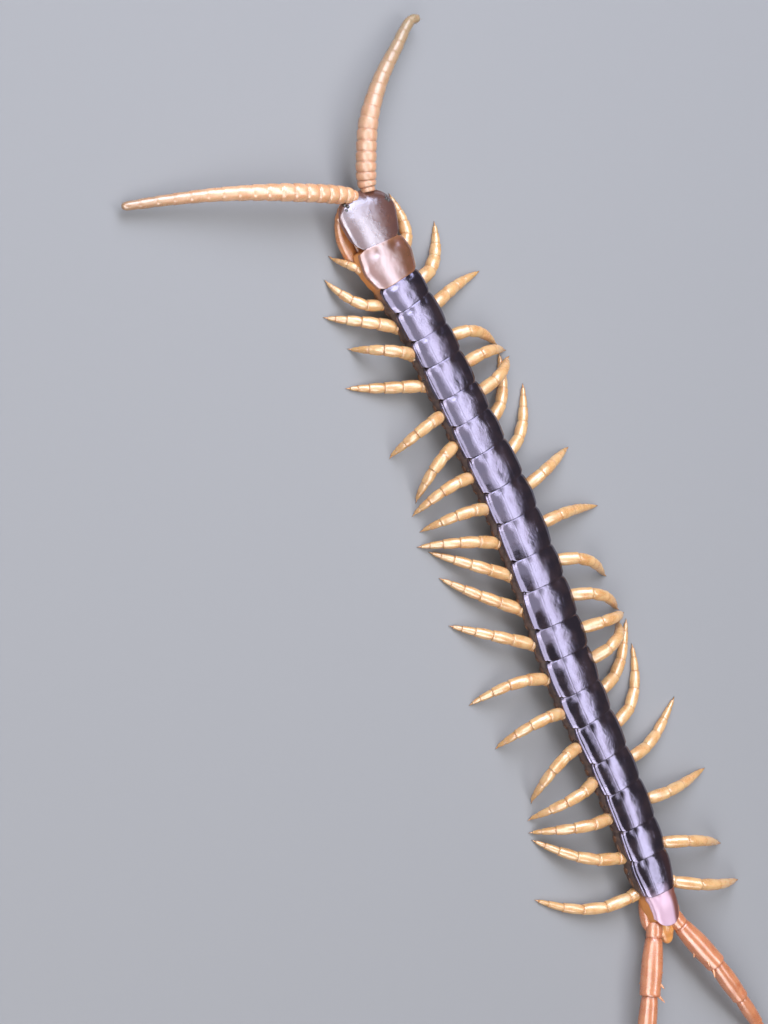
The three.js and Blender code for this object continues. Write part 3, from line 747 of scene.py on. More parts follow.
# Small hard plates set in the skin round each leg, and the breathing holes above some of them
scute = {
    # each as (share of the segment, around, length in mm, share of the turn, height)
    "plates": [
        (0.22, 0.53, 1.3, 0.075, 0.1), (0.9, 0.55, 1.1, 0.07, 0.1), (0.55, 0.7, 2.2, 0.035, 0.12),
        (0.55, 0.475, 2.0, 0.03, 0.1),
    ],
    "sunk": 0.05,  # how far the rim of a plate lies under the skin
    "wall": 0.1,
    "holes": [3, 5, 8, 10, 12, 14, 16, 18, 20],  # the segments that have them
    "hole": (0.3, 0.435, 0.55, 0.028, 0.13),  # as a plate, with the height of its raised ring
    "holeRing": (0.72, 0.22),  # where that ring lies, and its width, as shares of the radius
    "holeSunk": 0.1,
    "holeWall": 0.08,
    "cells": 8,
}


# A round patch on the skin, its height given by how far out from its middle a point is
def patchOf(number, side, sizes, heightAt):
    share, around, length, turn, height = sizes
    middle = plateStarts[number - 1] + body["plateLengths"][number - 1] * share

    def pointAt(u, v):
        a, b = 2 * u - 1, 2 * v - 1
        x = a * math.sqrt(1 - b * b / 2)
        y = b * math.sqrt(1 - a * a / 2)
        lift = heightAt(math.hypot(x, y), height)
        return skinPoint(middle + x * length / 2, side * around + y * turn, lift)

    patch = gridOf(scute["cells"], scute["cells"], pointAt)
    if side < 0:
        bmesh.ops.reverse_faces(patch, faces=patch.faces)
    return patch


def dome(away, height):
    return height * (1 - away ** 4) - scute["sunk"]


def ringRim(away, height):
    return height * hump(away, *scute["holeRing"]) - scute["holeSunk"] * smoothStep(0.8, 1, away)


for sideName, side in sides.items():
    scutes, holes = [], []
    for number in range(2, body["segments"]):
        scutes += [patchOf(number, side, sizes, dome) for sizes in scute["plates"]]
        if number in scute["holes"]:
            holes.append(patchOf(number, side, scute["hole"], ringRim))
    makePiece("sideScutes_" + sideName, joined(scutes), finishes["scute"], wall=scute["wall"])
    # the breathing holes have no opening: their middle is a flat dark disc at the skin's level, painted shade
    # of the hole, inside a raised ring in its own dark colour
    makePiece("breathingHoles_" + sideName, joined(holes), finishes["horn"], wall=scute["holeWall"])
print("belly and sides ready")


# Jointed limbs

# The profile of articles that run from one joint to the next, each with the radius at its start, middle and
# end: the far end has a lip, and the joint is a groove of softer skin
def jointedProfile(joints, radii):
    profile = [(joints[0], 0)]
    for start, end, (first, middle, final) in zip(joints, joints[1:], radii):
        length = end - start
        lip = min(final, length * 0.5)
        profile += [
            (start + 0.02 * first, 0.88 * first),
            (start + 0.10 * first, 0.95 * first),
            (start + 0.35 * first, first),
            (start + length * 0.32, (first + 2 * middle) / 3),
            (start + length * 0.55, middle),
            (end - 0.62 * lip, final),
            (end - 0.22 * lip, final * 1.05),
            (end - 0.08 * lip, final),
            (end - 0.02 * lip, final * 0.9),
        ]
    profile.append((joints[-1], 0))
    return sorted(profile)


# A closed profile without joints: the first ring as (distance, share of the radius), then rings as shares of
# the length and of the radius
def taperProfile(whole, radius, first, rings):
    distance, size = first
    profile = [(0, 0), (distance, radius * size)]
    profile += [(whole * share, radius * size) for share, size in rings]
    return profile + [(whole, 0)]


# Marks that a limb's material reads: how far along it a point is, and how near to a joint
def jointMark(joints, width):
    return "joint", lambda distance: max((hump(distance, joint, width) for joint in joints), default=0.0)


def limbMarks(whole, joints=(), width=1.0, share=1):
    return [("along", lambda distance: share * distance / whole), jointMark(joints, width)]


leg = {
    # by segment: degrees from straight out towards the head for the foot and the knee, and the foot's reach
    "swing": {
        "left": [62, 54, 38, 34, 26, -10, -26, -2, 8, 21, 38, 41, 33, 7, 1, -20, -3, 14, 31, 17],
        "right": [59, 25, 3, -28, -9, 11, 42, 36, 10, -7, -31, -29, -6, 16, 30, 36, 14, -5, -23, -23],
    },
    "knee": {
        "left": [58, 30, 38, 33, 25, 0, -8, 11, 17, 24, 36, 38, 32, 19, 15, 4, 0, 12, 21, 3],
        "right": [36, 2, 7, -12, 2, 11, 26, 20, 13, -1, -19, -18, -3, 17, 13, 12, 2, -8, -19, -27],
    },
    "reach": {
        "left": [
            6.0, 10.4, 13.0, 11.0, 14.2, 11.4, 11.8, 12.2, 12.2, 14.8, 15.6, 16.4, 16.2, 15.0, 13.4, 12.6,
            13.6, 15.0, 17.5, 19.6,
        ],
        "right": [
            10.6, 12.6, 13.8, 12.0, 11.6, 11.6, 13.6, 14.4, 14.2, 15.2, 13.8, 13.8, 12.8, 12.0, 15.8, 16.2,
            17.0, 16.8, 16.3, 18.0,
        ],
    },
    "firstLength": {"left": 8.6, "right": 12.6},
    "lengths": [
        (2, 12.9), (3, 14.4), (8, 15.6), (12, 17.6), (16, 17.4), (18, 18.2), (19, 19.3), (20, 21.0),
    ],
    "hipHeight": 2.9,
    "hipInset": 0.74,
    "footHeight": 0.3,
    "claw": 0.8,
    "clawTip": 0.15,  # what its fine tip adds to that
    "clawRadius": 0.17,
    # how strongly it bows forwards or back at its start and end, and how far its curve pulls there
    "startBow": 0.9,
    "endBow": 1.5,
    "mostTurn": 85,
    "startPull": 0.42,
    "endPull": 0.38,
    "mostLift": 14,
    "steps": 80,
    "halvings": 20,
    # share of the length where each article ends, and its radii at the start, middle and end
    "articles": [
        (0.11, (1.2, 1.3, 1.16)), (0.34, (1.1, 1.22, 1.1)), (0.55, (1.02, 1.14, 1.0)),
        (0.73, (0.9, 0.98, 0.84)), (0.87, (0.72, 0.7, 0.58)), (0.96, (0.48, 0.44, 0.3)),
    ],
    "thickness": {"left": [(1, 0.7), (2, 0.9), (3, 1)], "right": [(1, 1.0), (2, 1.12), (4, 1)]},  # by segment
    "soften": 0.42,
    "squeeze": 1.06,
    "jointWidth": 0.16,
    "turns": 16,
}


def legJoints(sideName, number):
    side = sides[sideName]
    distance = plateStarts[number - 1] + body["plateLengths"][number - 1] * hipPlace(number)
    out = side * leg["hipInset"] * between(body["halfWidths"], number + hipPlace(number))
    _, backwards, leftwards = spineFrame(distance)
    swing, knee, reach = (leg[key][sideName][number - 1] for key in ("swing", "knee", "reach"))
    length = leg["firstLength"][sideName] if number == 1 else between(leg["lengths"], number)

    def heading(angle):
        turn = math.radians(angle)
        return leftwards * side * math.cos(turn) - backwards * math.sin(turn)

    hip = onFrame(distance, out, leg["hipHeight"])
    foot = onFrame(distance, out, leg["footHeight"]) + heading(swing) * reach
    leaving = heading(knee + (knee - swing) * leg["startBow"])
    endTurn = swing + (swing - knee) * leg["endBow"]
    arriving = heading(min(max(endTurn, -leg["mostTurn"]), leg["mostTurn"]))

    def arch(lift):
        second = hip + leaving * reach * leg["startPull"] + up * lift
        third = foot - arriving * reach * leg["endPull"] + up * lift
        line = []
        for k in range(leg["steps"] + 1):
            t = k / leg["steps"]
            s = 1 - t
            line.append(hip * s ** 3 + second * 3 * t * s ** 2 + third * 3 * t * t * s + foot * t ** 3)
        return Course(line)

    low, high = 0, leg["mostLift"]
    for _ in range(leg["halvings"]):  # the knees rise until the leg has its length
        middle = (low + high) / 2
        low, high = (middle, high) if arch(middle).length < length - leg["claw"] else (low, middle)
    course = arch(low)
    ends = [0] + [end / leg["articles"][-1][0] for end, _ in leg["articles"]]
    return [course.at(end * course.length) for end in ends]


# A claw at the end of a leg, bent down to the floor from the given height
def clawOf(joints, length, radius, height):
    foot = joints[-1]
    ahead = foot - joints[-2]
    ahead.z = 0
    ahead.normalize()
    course = smoothCourse([
        foot - ahead * radius * 0.8,
        foot + ahead * length * 0.35 + up * radius * 0.1,
        foot + ahead * length * 0.75 - up * height * 0.4,
        foot + ahead * length - up * (height - 0.04),
    ], 6)
    profile = taperProfile(course.length, radius, (0.01, 0.8), [(0.25, 1), (0.6, 0.62), (0.9, 0.2)])
    return limbOf(profile, 8, course, floor=0.005, marks=limbMarks(course.length))


for sideName in sides:
    claws = []
    for number in range(1, body["segments"]):
        joints = legJoints(sideName, number)
        course = Course(joints, soften=leg["soften"])
        size = between(leg["thickness"][sideName], number)
        radii = [[radius * size for radius in article] for _, article in leg["articles"]]
        marks = limbMarks(course.length, course.marks[1:-1], leg["jointWidth"])
        profile = jointedProfile(course.marks, radii)
        bm = limbOf(profile, leg["turns"], course, squeeze=leg["squeeze"], floor=0.0, marks=marks)
        label = "%s_%02d" % (sideName, number)
        makePiece("walkingLeg_" + label, bm, finishes["leg"], ["leg_" + label])
        claws.append(clawOf(joints, leg["claw"] + leg["clawTip"], leg["clawRadius"], leg["footHeight"]))
    makePiece("legClaws_" + sideName, joined(claws), finishes["claw"])
print("walking legs ready")


# The last pair of legs, trailing behind
lastLeg = {
    "start": 0.9,  # share of the last segment
    "spread": 1.9,
    "lengths": [3.1, 10.4, 8.8, 7.0, 4.8, 3.6],
    "radii": [
        (1.5, 1.6, 1.5), (1.65, 2.1, 1.9), (1.55, 1.8, 1.55), (1.26, 1.4, 1.2), (0.94, 1.0, 0.8),
        (0.66, 0.65, 0.42),
    ],
    "heights": [3.6, 3.7, 4.3, 3.5, 2.0, 0.9, 0.38],  # of its joints above the floor
    # degrees outwards from straight back, by article
    "headings": {"left": [24, 28, 24, 24, 27, 30], "right": [22, 25, 22, 23, 25, 27]},
    "soften": 0.7,
    "squeeze": 0.94,
    "jointWidth": 0.24,
    "turns": 24,
    "clawLength": 1.7,
    "clawTip": 0.2,
    "clawRadius": 0.32,
    # spines of the long article: share of its length, degrees from the top towards the inner side, length
    "spines": [
        (0.5, 88, 1.0), (0.76, 50, 1.1), (0.97, 64, 1.5), (0.45, 150, 0.9), (0.72, 205, 0.9), (0.3, 185, 0.8),
    ],
    "spineRadius": 0.34,
    "spineSunk": 0.4,
    "spineLean": 0.9,
    "spineRoot": 0.72,  # share of the leg's radius
}


def lastLegJoints(sideName):
    side = sides[sideName]
    start = plateStarts[-1] + body["plateLengths"][-1] * lastLeg["start"]
    _, backwards, leftwards = spineFrame(start)
    joints = [onFrame(start, side * lastLeg["spread"], lastLeg["heights"][0])]
    for k, length in enumerate(lastLeg["lengths"]):
        angle = math.radians(lastLeg["headings"][sideName][k])
        fall = lastLeg["heights"][k + 1] - lastLeg["heights"][k]
        run = math.sqrt(length * length - fall * fall)
        ahead = backwards * math.cos(angle) + leftwards * side * math.sin(angle)
        joints.append(joints[-1] + ahead * run + up * fall)
    return joints


def spikeOf(root, direction, length, radius):
    profile = taperProfile(length, radius, (0.01, 1), [(0.5, 0.72), (0.85, 0.3)])
    return limbOf(profile, 8, Course([root, root + direction * length]))


for sideName, side in sides.items():
    joints = lastLegJoints(sideName)
    course = Course(joints, soften=lastLeg["soften"])
    marks = limbMarks(course.length, course.marks[1:-1], lastLeg["jointWidth"])
    profile = jointedProfile(course.marks, lastLeg["radii"])
    bm = limbOf(profile, lastLeg["turns"], course, squeeze=lastLeg["squeeze"], floor=0.0, marks=marks)
    makePiece("lastLeg_" + sideName, bm, finishes["lastLeg"], ["leg_%s_21" % sideName])
    along = (joints[2] - joints[1]).normalized()
    inwards = along.cross(up).normalized() * -side
    over = along.cross(inwards) * side
    spikes = []
    for share, angle, length in lastLeg["spines"]:
        turn = math.radians(angle)
        radial = inwards * math.sin(turn) + over * math.cos(turn)
        root = joints[1].lerp(joints[2], share) + radial * lastLeg["radii"][1][1] * lastLeg["spineRoot"]
        lean = (radial + along * lastLeg["spineLean"]).normalized()
        spikes.append(spikeOf(root, lean, length + lastLeg["spineSunk"], lastLeg["spineRadius"]))
    makePiece("lastLegSpines_" + sideName, joined(spikes), finishes["jaw"])
    clawLength = lastLeg["clawLength"] + lastLeg["clawTip"]
    bm = clawOf(joints, clawLength, lastLeg["clawRadius"], lastLeg["heights"][-1])
    makePiece("lastLegClaw_" + sideName, bm, finishes["claw"])


# Side plates of the last segment with their pointed process, and the small end segments between the last legs
tail = {
    # course of a side plate: (share of the last segment, distance past it, out from the spine, depth below
    # the trunk's axis)
    "process": [(0.1, 0, 2.3, 0.9), (0.35, 2.2, 2.9, 0.85), (1, -0.6, 3.2, 0.95), (1, 1.5, 3.5, 1.05)],
    "processFirst": (0.05, 0.8),  # rings as taperProfile takes them
    "processRings": [(0.2, 1.2), (0.5, 1.32), (0.72, 1.05), (0.86, 0.55), (0.95, 0.2)],
    "ends": [(-2.0, 3.1), (4.6, 2.9)],  # as (distance past the last plate, height)
    "endRadius": 1.9,
    "endFirst": (0.05, 0.8),
    "endRings": [(0.4, 1), (0.7, 0.95), (0.72, 0.8), (0.9, 0.6), (0.98, 0.3)],
    "endJoint": 0.72,
}
for sideName, side in sides.items():
    points = []
    for share, past, out, below in tail["process"]:
        distance = plateStarts[-1] + body["plateLengths"][-1] * share + past
        points.append(onFrame(distance, side * out, body["axisHeight"] - below))
    course = smoothCourse(points, 8)
    profile = taperProfile(course.length, 1, tail["processFirst"], tail["processRings"])
    bm = limbOf(profile, 20, course, marks=limbMarks(course.length))
    makePiece("hipPlate_" + sideName, bm, finishes["lastLeg"])

course = Course([onFrame(trunkEnd + past, 0, height) for past, height in tail["ends"]])
profile = taperProfile(course.length, tail["endRadius"], tail["endFirst"], tail["endRings"])
marks = limbMarks(course.length, [course.length * tail["endJoint"]], 0.12, share=0.5)
bm = limbOf(profile, 20, course, squeeze=0.7, marks=marks)
makePiece("endSegments", bm, finishes["tailEnd"])
print("tail ready")


# Head
head = {
    # as (distance from the front, half width, height above the head's axis, depth below it)
    "shape": [
        (0, 1.9, 0.75, 0.7), (0.5, 2.9, 1.05, 0.85), (1.5, 4.35, 1.3, 0.95), (2.9, 5.35, 1.5, 1.05),
        (4.6, 5.75, 1.7, 1.15), (6.2, 5.65, 1.8, 1.15), (7.6, 5.1, 1.8, 1.1), (9.0, 4.25, 1.76, 1.05),
        (9.85, 3.3, 1.72, 1.0),
    ],
    "axis": [(0, 4.15), (5, 4.3), (10, 4.45)],
    "shoulder": 3.6,  # where the rounded front meets the sides
    "shieldRear": 10.5,
    "rearRound": 3.4,  # how far its rear corners are rounded off
    "rearFlatness": 2.4,
    "shieldWidths": [(0, 5.55), (0.25, 5.8), (0.5, 5.72), (0.8, 5.45), (1, 5.15)],
    "crowding": 1.15,  # rows are closer towards the front
    "rim": 0.06,  # height of the shield's rim, and of its middle at the front, as shares of the full height
    "noseLevel": 0.22,
    "noseEnd": 0.3,  # share of the shield's length where the full height is reached
    "crownFlatness": 2.6,
    "rimGroove": (0.97, 0.03, 0.05),  # as (share across, width, depth)
    "furrow": (0, 0.05, 0.06),
    "unevenness": 0.03,
    "columns": 34,
    "rows": 30,
    "thickness": 0.2,
    # half of the section below the shield, as shares of the half width and of the height or depth
    "capsuleRing": [
        (0, 0.8), (0.5, 0.72), (0.85, 0.35), (0.93, 0.0), (0.86, -0.4), (0.62, -0.8), (0.3, -0.97), (0, -1.0),
    ],
    "capsuleFront": 0.25,
    "capsuleLength": 10.0,
    "capsuleInset": 0.97,
    "capsuleColumns": 28,
    "capsuleRows": 22,
}


def acrossShield(u):
    return math.sin((2 * u - 1) * math.pi / 2)


def shieldPoint(u, v):
    across = acrossShield(u)
    edge = abs(across)
    front = head["shoulder"] * (1 - math.sqrt(max(1 - across * across, 0)))
    rear = head["shieldRear"] - head["rearRound"] * (1 - math.sqrt(max(1 - edge ** head["rearFlatness"], 0)))
    distance = front + (rear - front) * v ** head["crowding"]
    above = column(head["shape"], 2, distance)
    rimHeight = head["rim"] * above
    nose = 1 - (1 - smoothStep(0, head["noseEnd"], v)) ** 2
    crown = max(1 - edge ** head["crownFlatness"], 0) ** 0.5
    rise = (above - rimHeight) * crown * (head["noseLevel"] + (1 - head["noseLevel"]) * nose)
    sunk = dent(edge, *head["rimGroove"]) * smoothStep(0.05, 0.15, v)
    sunk += dent(across, *head["furrow"]) * (1 - smoothStep(0.16, 0.3, v))  # short, behind the antennae
    sunk -= head["unevenness"] * noise.noise(Vector((across * 2.4, v * 3, 7.3)))
    height = between(head["axis"], distance) + rimHeight + rise - sunk
    return onFrame(distance, between(head["shieldWidths"], v) * across, height)


marks = [("across", lambda u, v: acrossShield(u)), ("along", lambda u, v: 0.2 + 0.7 * v)]
bm = gridOf(head["columns"], head["rows"], shieldPoint, marks=marks)
makePiece("headShield", bm, finishes["shield"], ["head"], wall=head["thickness"])


def capsulePoint(u, v):
    ring = head["capsuleRing"]
    distance = head["capsuleFront"] + head["capsuleLength"] * v
    turn = abs(2 * u - 1) * (len(ring) - 1)
    rows = [(k, *place) for k, place in enumerate(ring)]
    wide, high = column(rows, 1, turn), column(rows, 2, turn)
    ends = 0 if atEnd(v) else min(smoothStep(-0.02, 0.12, v), smoothStep(-0.02, 0.12, 1 - v)) ** 0.5
    left = column(head["shape"], 1, distance) * wide * head["capsuleInset"] * ends * (1 if u > 0.5 else -1)
    height = column(head["shape"], 2 if high > 0 else 3, distance) * high * ends
    return onFrame(distance, left, between(head["axis"], distance) + height)


def noJoint(u, v):
    return 0.0


marks = [("along", lambda u, v: 0.5 * v), ("joint", noJoint)]
bm = gridOf(head["capsuleColumns"], head["capsuleRows"], capsulePoint, closed=True, marks=marks)
makePiece("headCapsule", bm, finishes["jaw"])


# Eyes: four simple lenses on each side
eyes = {
    "distance": 2.45,
    "out": 4.2,
    "above": 0.8,  # the head's axis
    "lens": 0.36,
    "spacing": 0.5,
    "places": [(1, 0.15), (-1, 0), (0.1, 1), (-0.1, -1)],
}
for sideName, side in sides.items():
    height = between(head["axis"], eyes["distance"]) + eyes["above"]
    middle = onFrame(eyes["distance"], side * eyes["out"], height)
    outward = Vector((side * 0.75, -0.35, 0.6)).normalized()
    turn = up.rotation_difference(outward).to_matrix()
    lenses = bmesh.new()
    for x, y in eyes["places"]:
        at = Matrix.Translation(middle + turn @ Vector((x * eyes["spacing"], y * eyes["spacing"], 0)))
        size = eyes["lens"] * random.uniform(0.92, 1.06)
        bmesh.ops.create_uvsphere(lenses, u_segments=16, v_segments=10, radius=size, matrix=at)
    makePiece("eyes_" + sideName, lenses, finishes["eye"], ["eye_" + sideName])


# Antennae: many short articles, bare at the base and finely haired further out
antenna = {
    "course": {
        "left": [
            (3.2, -55.6, 4.4), (4.6, -56.4, 4.6), (11.2, -59.2, 5.4), (19.8, -62.6, 5.1), (28.0, -65.4, 4.1),
            (35.8, -67.6, 2.8), (43.6, -69.5, 1.7),
        ],
        "right": [
            (0.4, -55.6, 4.4), (0.1, -57.3, 4.6), (-1.1, -61.0, 5.4), (-4.4, -67.0, 5.7), (-10.0, -72.6, 5.1),
            (-16.4, -77.0, 4.1), (-19.9, -79.4, 3.4), (-22.1, -80.3, 3.0), (-23.4, -79.8, 2.8),
        ],
    },
    "courseSteps": 24,
    "articles": 18,
    "crowding": 1.3,  # articles are shorter towards the base
    "radii": [(0, 1.0), (0.03, 1.5), (0.09, 1.7), (0.3, 1.65), (0.5, 1.35), (0.75, 1.05), (1, 0.78)],
    "size": {"left": 1.0, "right": 1.12},
    "grooves": [(0.2, 0.14), (0.5, 0.05)],
    "bareArticles": 7,
    "jointWidth": 0.16,
    "turns": 16,
    "hairs": 520,
    "hairLength": 0.32,
    "hairRadii": (0.022, 0.004),
    "hairRoot": 0.88,  # share of the antenna's radius
}


def antennaRadius(sideName, share):
    return between(antenna["radii"], share) * antenna["size"][sideName]


def antennaProfile(sideName, joints):
    profile = [(0, 0), (0.02, antennaRadius(sideName, 0) * 0.9)]
    for start, end in zip(joints, joints[1:]):
        size = end - start
        middle = (start + size / 2) / joints[-1]
        radius = antennaRadius(sideName, middle)
        groove = between(antenna["grooves"], middle)
        # rings of an article, as shares of its length and radius, and a rounded end for the last one
        rings = [(0.06, 1 - groove * 0.7), (0.16, 1 - groove * 0.3), (0.5, 1)]
        if end == joints[-1]:
            rings += [(0.78, 0.9), (0.92, 0.7), (0.985, 0.35)]
        else:
            rings += [(0.78, 1), (0.92, 1 - groove * 0.2), (0.985, 1 - groove)]
        profile += [(start + place * size, radius * wide) for place, wide in rings]
    return profile + [(joints[-1], 0)]


for sideName in sides:
    course = smoothCourse([Vector(point) for point in antenna["course"][sideName]], antenna["courseSteps"])
    whole = course.length
    articles = antenna["articles"]
    joints = [whole * (k / articles) ** antenna["crowding"] for k in range(articles + 1)]
    marks = limbMarks(whole, joints[1:antenna["bareArticles"] + 1], antenna["jointWidth"])
    bm = limbOf(antennaProfile(sideName, joints), antenna["turns"], course, marks=marks)
    node = "antenna_" + sideName
    makePiece("antennaSkin_" + sideName, bm, finishes[node], [node])
    hairs = bmesh.new()
    thick, thin = antenna["hairRadii"]
    for _ in range(antenna["hairs"]):
        share = random.uniform(antenna["bareArticles"] / articles, 0.995) ** 0.9
        distance = share * whole
        along = course.ahead(distance)
        across = along.cross(up).normalized()
        turn = random.uniform(0, 2 * math.pi)
        radial = across * math.cos(turn) + across.cross(along) * math.sin(turn)
        lean = (radial + along * random.uniform(0.7, 1.3)).normalized()
        length = antenna["hairLength"] * random.uniform(0.6, 1.2)
        root = course.at(distance) + radial * antennaRadius(sideName, share) * antenna["hairRoot"]
        turned = up.rotation_difference(lean).to_matrix().to_4x4()
        place = Matrix.Translation(root + lean * length / 2) @ turned
        bmesh.ops.create_cone(
            hairs, cap_ends=True, segments=3, radius1=thick, radius2=thin, depth=length, matrix=place
        )
    makePiece("antennaHairs_" + sideName, hairs, finishes["hair"], levels=0)
print("head and antennae ready")


# Venom claws and the plate that carries them, under the head
jaw = {
    # as (distance from the head's front, half width, half height)
    "plate": [
        (6.0, 2.5, 0.75), (6.8, 3.2, 0.95), (9.4, 3.7, 1.15), (11.8, 4.5, 1.25), (14.0, 4.5, 1.2),
        (15.6, 3.4, 0.9),
    ],
    "plateColumns": 32,
    "plateRows": 24,
    "height": 1.85,
    "squareness": 0.7,
    "furrow": (0, 0.08, 0.18),  # along its underside, as (share across, width, depth)
    "teeth": 4,
    "toothFront": 6.9,
    "toothInset": 0.4,
    "toothSpacing": 0.38,
    "toothSunk": 0.05,
    "toothLength": 1.9,
    "toothShorter": 0.12,  # each one than the one nearer to the middle
    # course of a claw: (distance from the head's front, out from the spine, height, radius)
    "claw": [
        (13.4, 3.3, 2.2, 0.9), (11.4, 4.0, 2.1, 1.35), (9.6, 4.35, 2.0, 1.42), (7.2, 4.6, 1.95, 1.4),
        (5.0, 4.35, 1.88, 1.12), (4.3, 4.1, 1.84, 1.16), (3.4, 3.7, 1.82, 0.98), (2.8, 3.3, 1.8, 1.0),
        (1.6, 2.4, 1.74, 0.7), (0.9, 1.45, 1.68, 0.44), (0.9, 0.6, 1.62, 0.14),
    ],
    "courseSteps": 8,
    "joints": [(4, 0.5), (6, 0.4)],  # as (row of the course, distance past it)
    "grooveWidth": 0.16,
    "grooveDepth": 0.16,
    "jointWidth": 0.2,
    "rings": 46,
    "turns": 20,
    "flatness": 0.78,
    "tip": 1.25,  # length of the dark tip
    "tipRings": 9,
    "tipTurns": 16,
    "tipProud": 0.03,
    # course of a mouth palp: (distance from the head's front, out from the spine, height)
    "palp": [(6.4, 1.9, 2.9), (4.0, 2.5, 2.75), (2.0, 2.2, 2.6), (0.9, 1.2, 2.5)],
    "palpJoints": [0, 0.4, 0.72, 1],
    "palpRadii": [(0.5, 0.55, 0.5), (0.44, 0.48, 0.42), (0.36, 0.36, 0.2)],
}


def jawPoint(u, v):
    first, last = jaw["plate"][0][0], jaw["plate"][-1][0]
    distance = first + (last - first) * v
    half, depth = column(jaw["plate"], 1, distance), column(jaw["plate"], 2, distance)
    angle = 2 * math.pi * u
    wide = math.copysign(abs(math.sin(angle)) ** jaw["squareness"], math.sin(angle))
    underside = 1 if math.cos(angle) < 0 else 0
    furrow = dent(wide, *jaw["furrow"]) * underside * smoothStep(0, 0.2, 1 - v)
    ends = 0 if atEnd(v) else 1
    return onFrame(distance, half * wide * ends, jaw["height"] + (depth * math.cos(angle) + furrow) * ends)


marks = [("along", lambda u, v: 0.4 * (1 - v)), ("joint", noJoint)]
bm = gridOf(jaw["plateColumns"], jaw["plateRows"], jawPoint, closed=True, marks=marks)
makePiece("jawPlate", bm, finishes["jaw"], ["jaw_plate"])

teeth = []
_, backwards, _ = spineFrame(jaw["toothFront"])
for side in sides.values():
    for k in range(jaw["teeth"]):
        out = jaw["toothInset"] + jaw["toothSpacing"] * k
        root = onFrame(jaw["toothFront"], side * out, jaw["height"] - jaw["toothSunk"])
        course = Course([root, root - backwards * (jaw["toothLength"] - jaw["toothShorter"] * k)])
        profile = taperProfile(course.length, 1, (0.02, 0.3), [(0.6, 0.28), (0.9, 0.2)])
        teeth.append(limbOf(profile, 10, course))
makePiece("toothPlates", joined(teeth), finishes["horn"])

for sideName, side in sides.items():
    points = [onFrame(distance, side * out, height) for distance, out, height, _ in jaw["claw"]]
    course = smoothCourse(points, jaw["courseSteps"])
    whole = course.length
    stops = [(course.marks[jaw["courseSteps"] * k], row[3]) for k, row in enumerate(jaw["claw"])]
    joints = [course.marks[jaw["courseSteps"] * k] + past for k, past in jaw["joints"]]
    profile = [(0, 0)]
    for k in range(1, jaw["rings"]):
        distance = whole * k / jaw["rings"]
        groove = max(hump(distance, joint, jaw["grooveWidth"]) for joint in joints)
        profile.append((distance, between(stops, distance) * (1 - jaw["grooveDepth"] * groove)))
    profile.append((whole, 0))
    tipStart = whole - jaw["tip"]
    darkening = [(0, 0), (tipStart - 1.0, 0.5), (tipStart, 1)]
    darker = "along", lambda distance, darkening=darkening: between(darkening, distance)
    marks = [darker, jointMark(joints, jaw["jointWidth"])]
    bm = limbOf(profile, jaw["turns"], course, squeeze=jaw["flatness"], marks=marks)
    makePiece("venomClaw_" + sideName, bm, finishes["jaw"], ["venom_claw_" + sideName])

    tip = [(tipStart - 0.1, 0)]
    for k in range(jaw["tipRings"]):
        distance = tipStart + jaw["tip"] * k / jaw["tipRings"]
        tip.append((distance, between(stops, distance) + jaw["tipProud"]))
    tip.append((whole + 0.12, 0))
    bm = limbOf(tip, jaw["tipTurns"], course, squeeze=jaw["flatness"] + 0.04)
    makePiece("venomTip_" + sideName, bm, finishes["horn"])

    points = [onFrame(distance, side * out, height) for distance, out, height in jaw["palp"]]
    course = smoothCourse(points, jaw["courseSteps"])
    joints = [course.length * share for share in jaw["palpJoints"]]
    marks = limbMarks(course.length, joints[1:-1], 0.14, share=0.6)
    bm = limbOf(jointedProfile(joints, jaw["palpRadii"]), 12, course, marks=marks)
    makePiece("mouthPalp_" + sideName, bm, finishes["leg"])
print("jaws ready")


# Floor, light and camera
studio = {
    "floorSize": 900,
    "floorColor": (0.25, 0.25, 0.255, 1),
    "floorRoughness": 0.8,
    "lightColor": (0.95, 0.96, 1.0),
    "legLightColor": (1.0, 0.97, 0.96),
    "lightDistance": 700,
    "roomLight": 0.12,
}

bm = bmesh.new()
bmesh.ops.create_grid(bm, x_segments=1, y_segments=1, size=studio["floorSize"] * mm)
mesh = bpy.data.meshes.new("floor")
bm.to_mesh(mesh)
bm.free()
floor = bpy.data.objects.new("floor", mesh)
bpy.context.scene.collection.objects.link(floor)
floorFinish = bpy.data.materials.new("paleFloor")
floorFinish.use_nodes = True
floorShader = floorFinish.node_tree.nodes["Principled BSDF"]
floorShader.inputs["Base Color"].default_value = studio["floorColor"]
floorShader.inputs["Roughness"].default_value = studio["floorRoughness"]
mesh.materials.append(floorFinish)

# Soft boxes: degrees from straight up, tilt towards the animal's left side and lean towards its tail
softBoxes = [
    {"name": "mainBox", "tilt": -25, "lean": 8, "size": (148, 700), "power": 2.0},
    {"name": "fadeBox", "tilt": -14.5, "lean": 6, "size": (125, 640), "power": 0.5},
    {"name": "leftBox", "tilt": 3, "lean": -36, "size": (560, 520), "power": 1.3},
    {"name": "sideBox", "tilt": 43, "lean": 12, "size": (420, 650), "power": 3.4, "color": (0.97, 0.97, 1.0)},
    {"name": "headBox", "tilt": -20, "lean": -42, "size": (480, 560), "power": 5.8, "color": (0.8, 0.85, 1)},
    # the boxes with a place of their own are seen only in the gloss, and this one is low over the front half
    {"name": "frontBox", "tilt": 3, "lean": 0, "size": (84, 116), "power": 0.044, "over": (-9, -42),
     "away": 100},
]
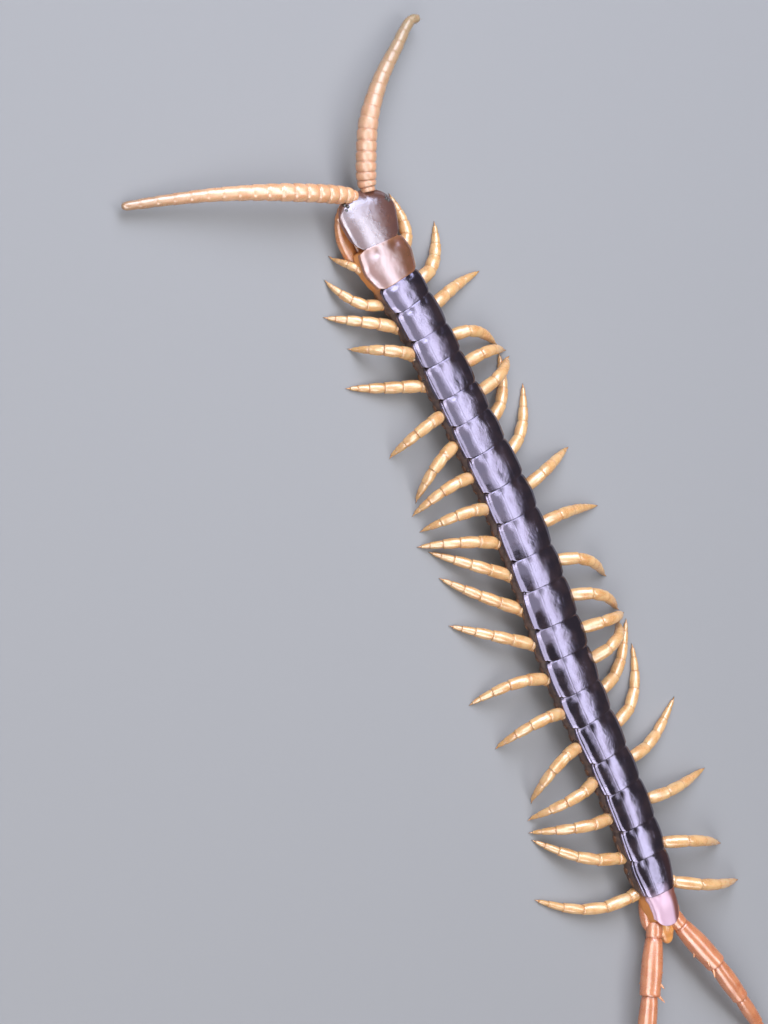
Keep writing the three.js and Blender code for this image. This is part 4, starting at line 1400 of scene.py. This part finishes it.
# these two shine along the last legs, one on each
for boxName, lean in {"leftLegBox": -30, "rightLegBox": 40}.items():
    softBoxes.append({
        "name": boxName, "tilt": 44, "lean": lean, "size": (420, 420), "power": 2.6, "over": (-10, 85),
        "color": studio["legLightColor"],
    })
for box in softBoxes:
    data = bpy.data.lights.new(box["name"], "AREA")
    data.shape = "RECTANGLE"
    data.size, data.size_y = (size * mm for size in box["size"])
    data.energy = box["power"]
    data.color = box.get("color", studio["lightColor"])
    lamp = bpy.data.objects.new(box["name"], data)
    bpy.context.scene.collection.objects.link(lamp)
    tilted = Matrix.Rotation(math.radians(box["tilt"]), 4, "Y")
    turn = tilted @ Matrix.Rotation(-math.radians(box["lean"]), 4, "X")
    over = Matrix.Translation(Vector((*box.get("over", (0, 0)), 0)) * mm)
    away = Matrix.Translation(up * box.get("away", studio["lightDistance"]) * mm)
    lamp.matrix_world = over @ turn @ away
    if "over" in box:
        lamp.visible_diffuse = False
        lamp.visible_camera = False

world = bpy.data.worlds.new("dimRoom")
bpy.context.scene.world = world
world.use_nodes = True
world.node_tree.nodes["Background"].inputs["Color"].default_value = (*studio["lightColor"], 1)
world.node_tree.nodes["Background"].inputs["Strength"].default_value = studio["roomLight"]
bpy.context.scene.view_settings.view_transform = "Standard"

camera = {
    "across": 27,  # degrees from straight above towards the animal's left side
    "along": -8,  # degrees towards the head
    "roll": 22.76,
    "distance": 450,
    "target": Vector((11.02, -24.70, 3.0)),
    "lens": 91.33,
    "sensorHeight": 36,
}
across, along, roll = (math.radians(camera[key]) for key in ("across", "along", "roll"))
forwards = Vector((0, -1, 0))
leftwards = Vector((1, 0, 0))
backward = up * math.cos(across) * math.cos(along) + leftwards * math.sin(across) - forwards * math.sin(along)
backward.normalize()
ahead = (forwards - backward * forwards.dot(backward)).normalized()
beside = ahead.cross(backward)
upright = ahead * math.cos(roll) + beside * math.sin(roll)
rightward = beside * math.cos(roll) - ahead * math.sin(roll)
place = Matrix((rightward, upright, backward)).transposed().to_4x4()
place.translation = (camera["target"] + backward * camera["distance"]) * mm
data = bpy.data.cameras.new("photoCamera")
data.sensor_fit = "VERTICAL"
data.sensor_height = camera["sensorHeight"]
data.lens = camera["lens"]
data.clip_start = 0.01
data.clip_end = 10
view = bpy.data.objects.new("photoCamera", data)
bpy.context.scene.collection.objects.link(view)
view.matrix_world = place
bpy.context.scene.camera = view
print("studio ready")
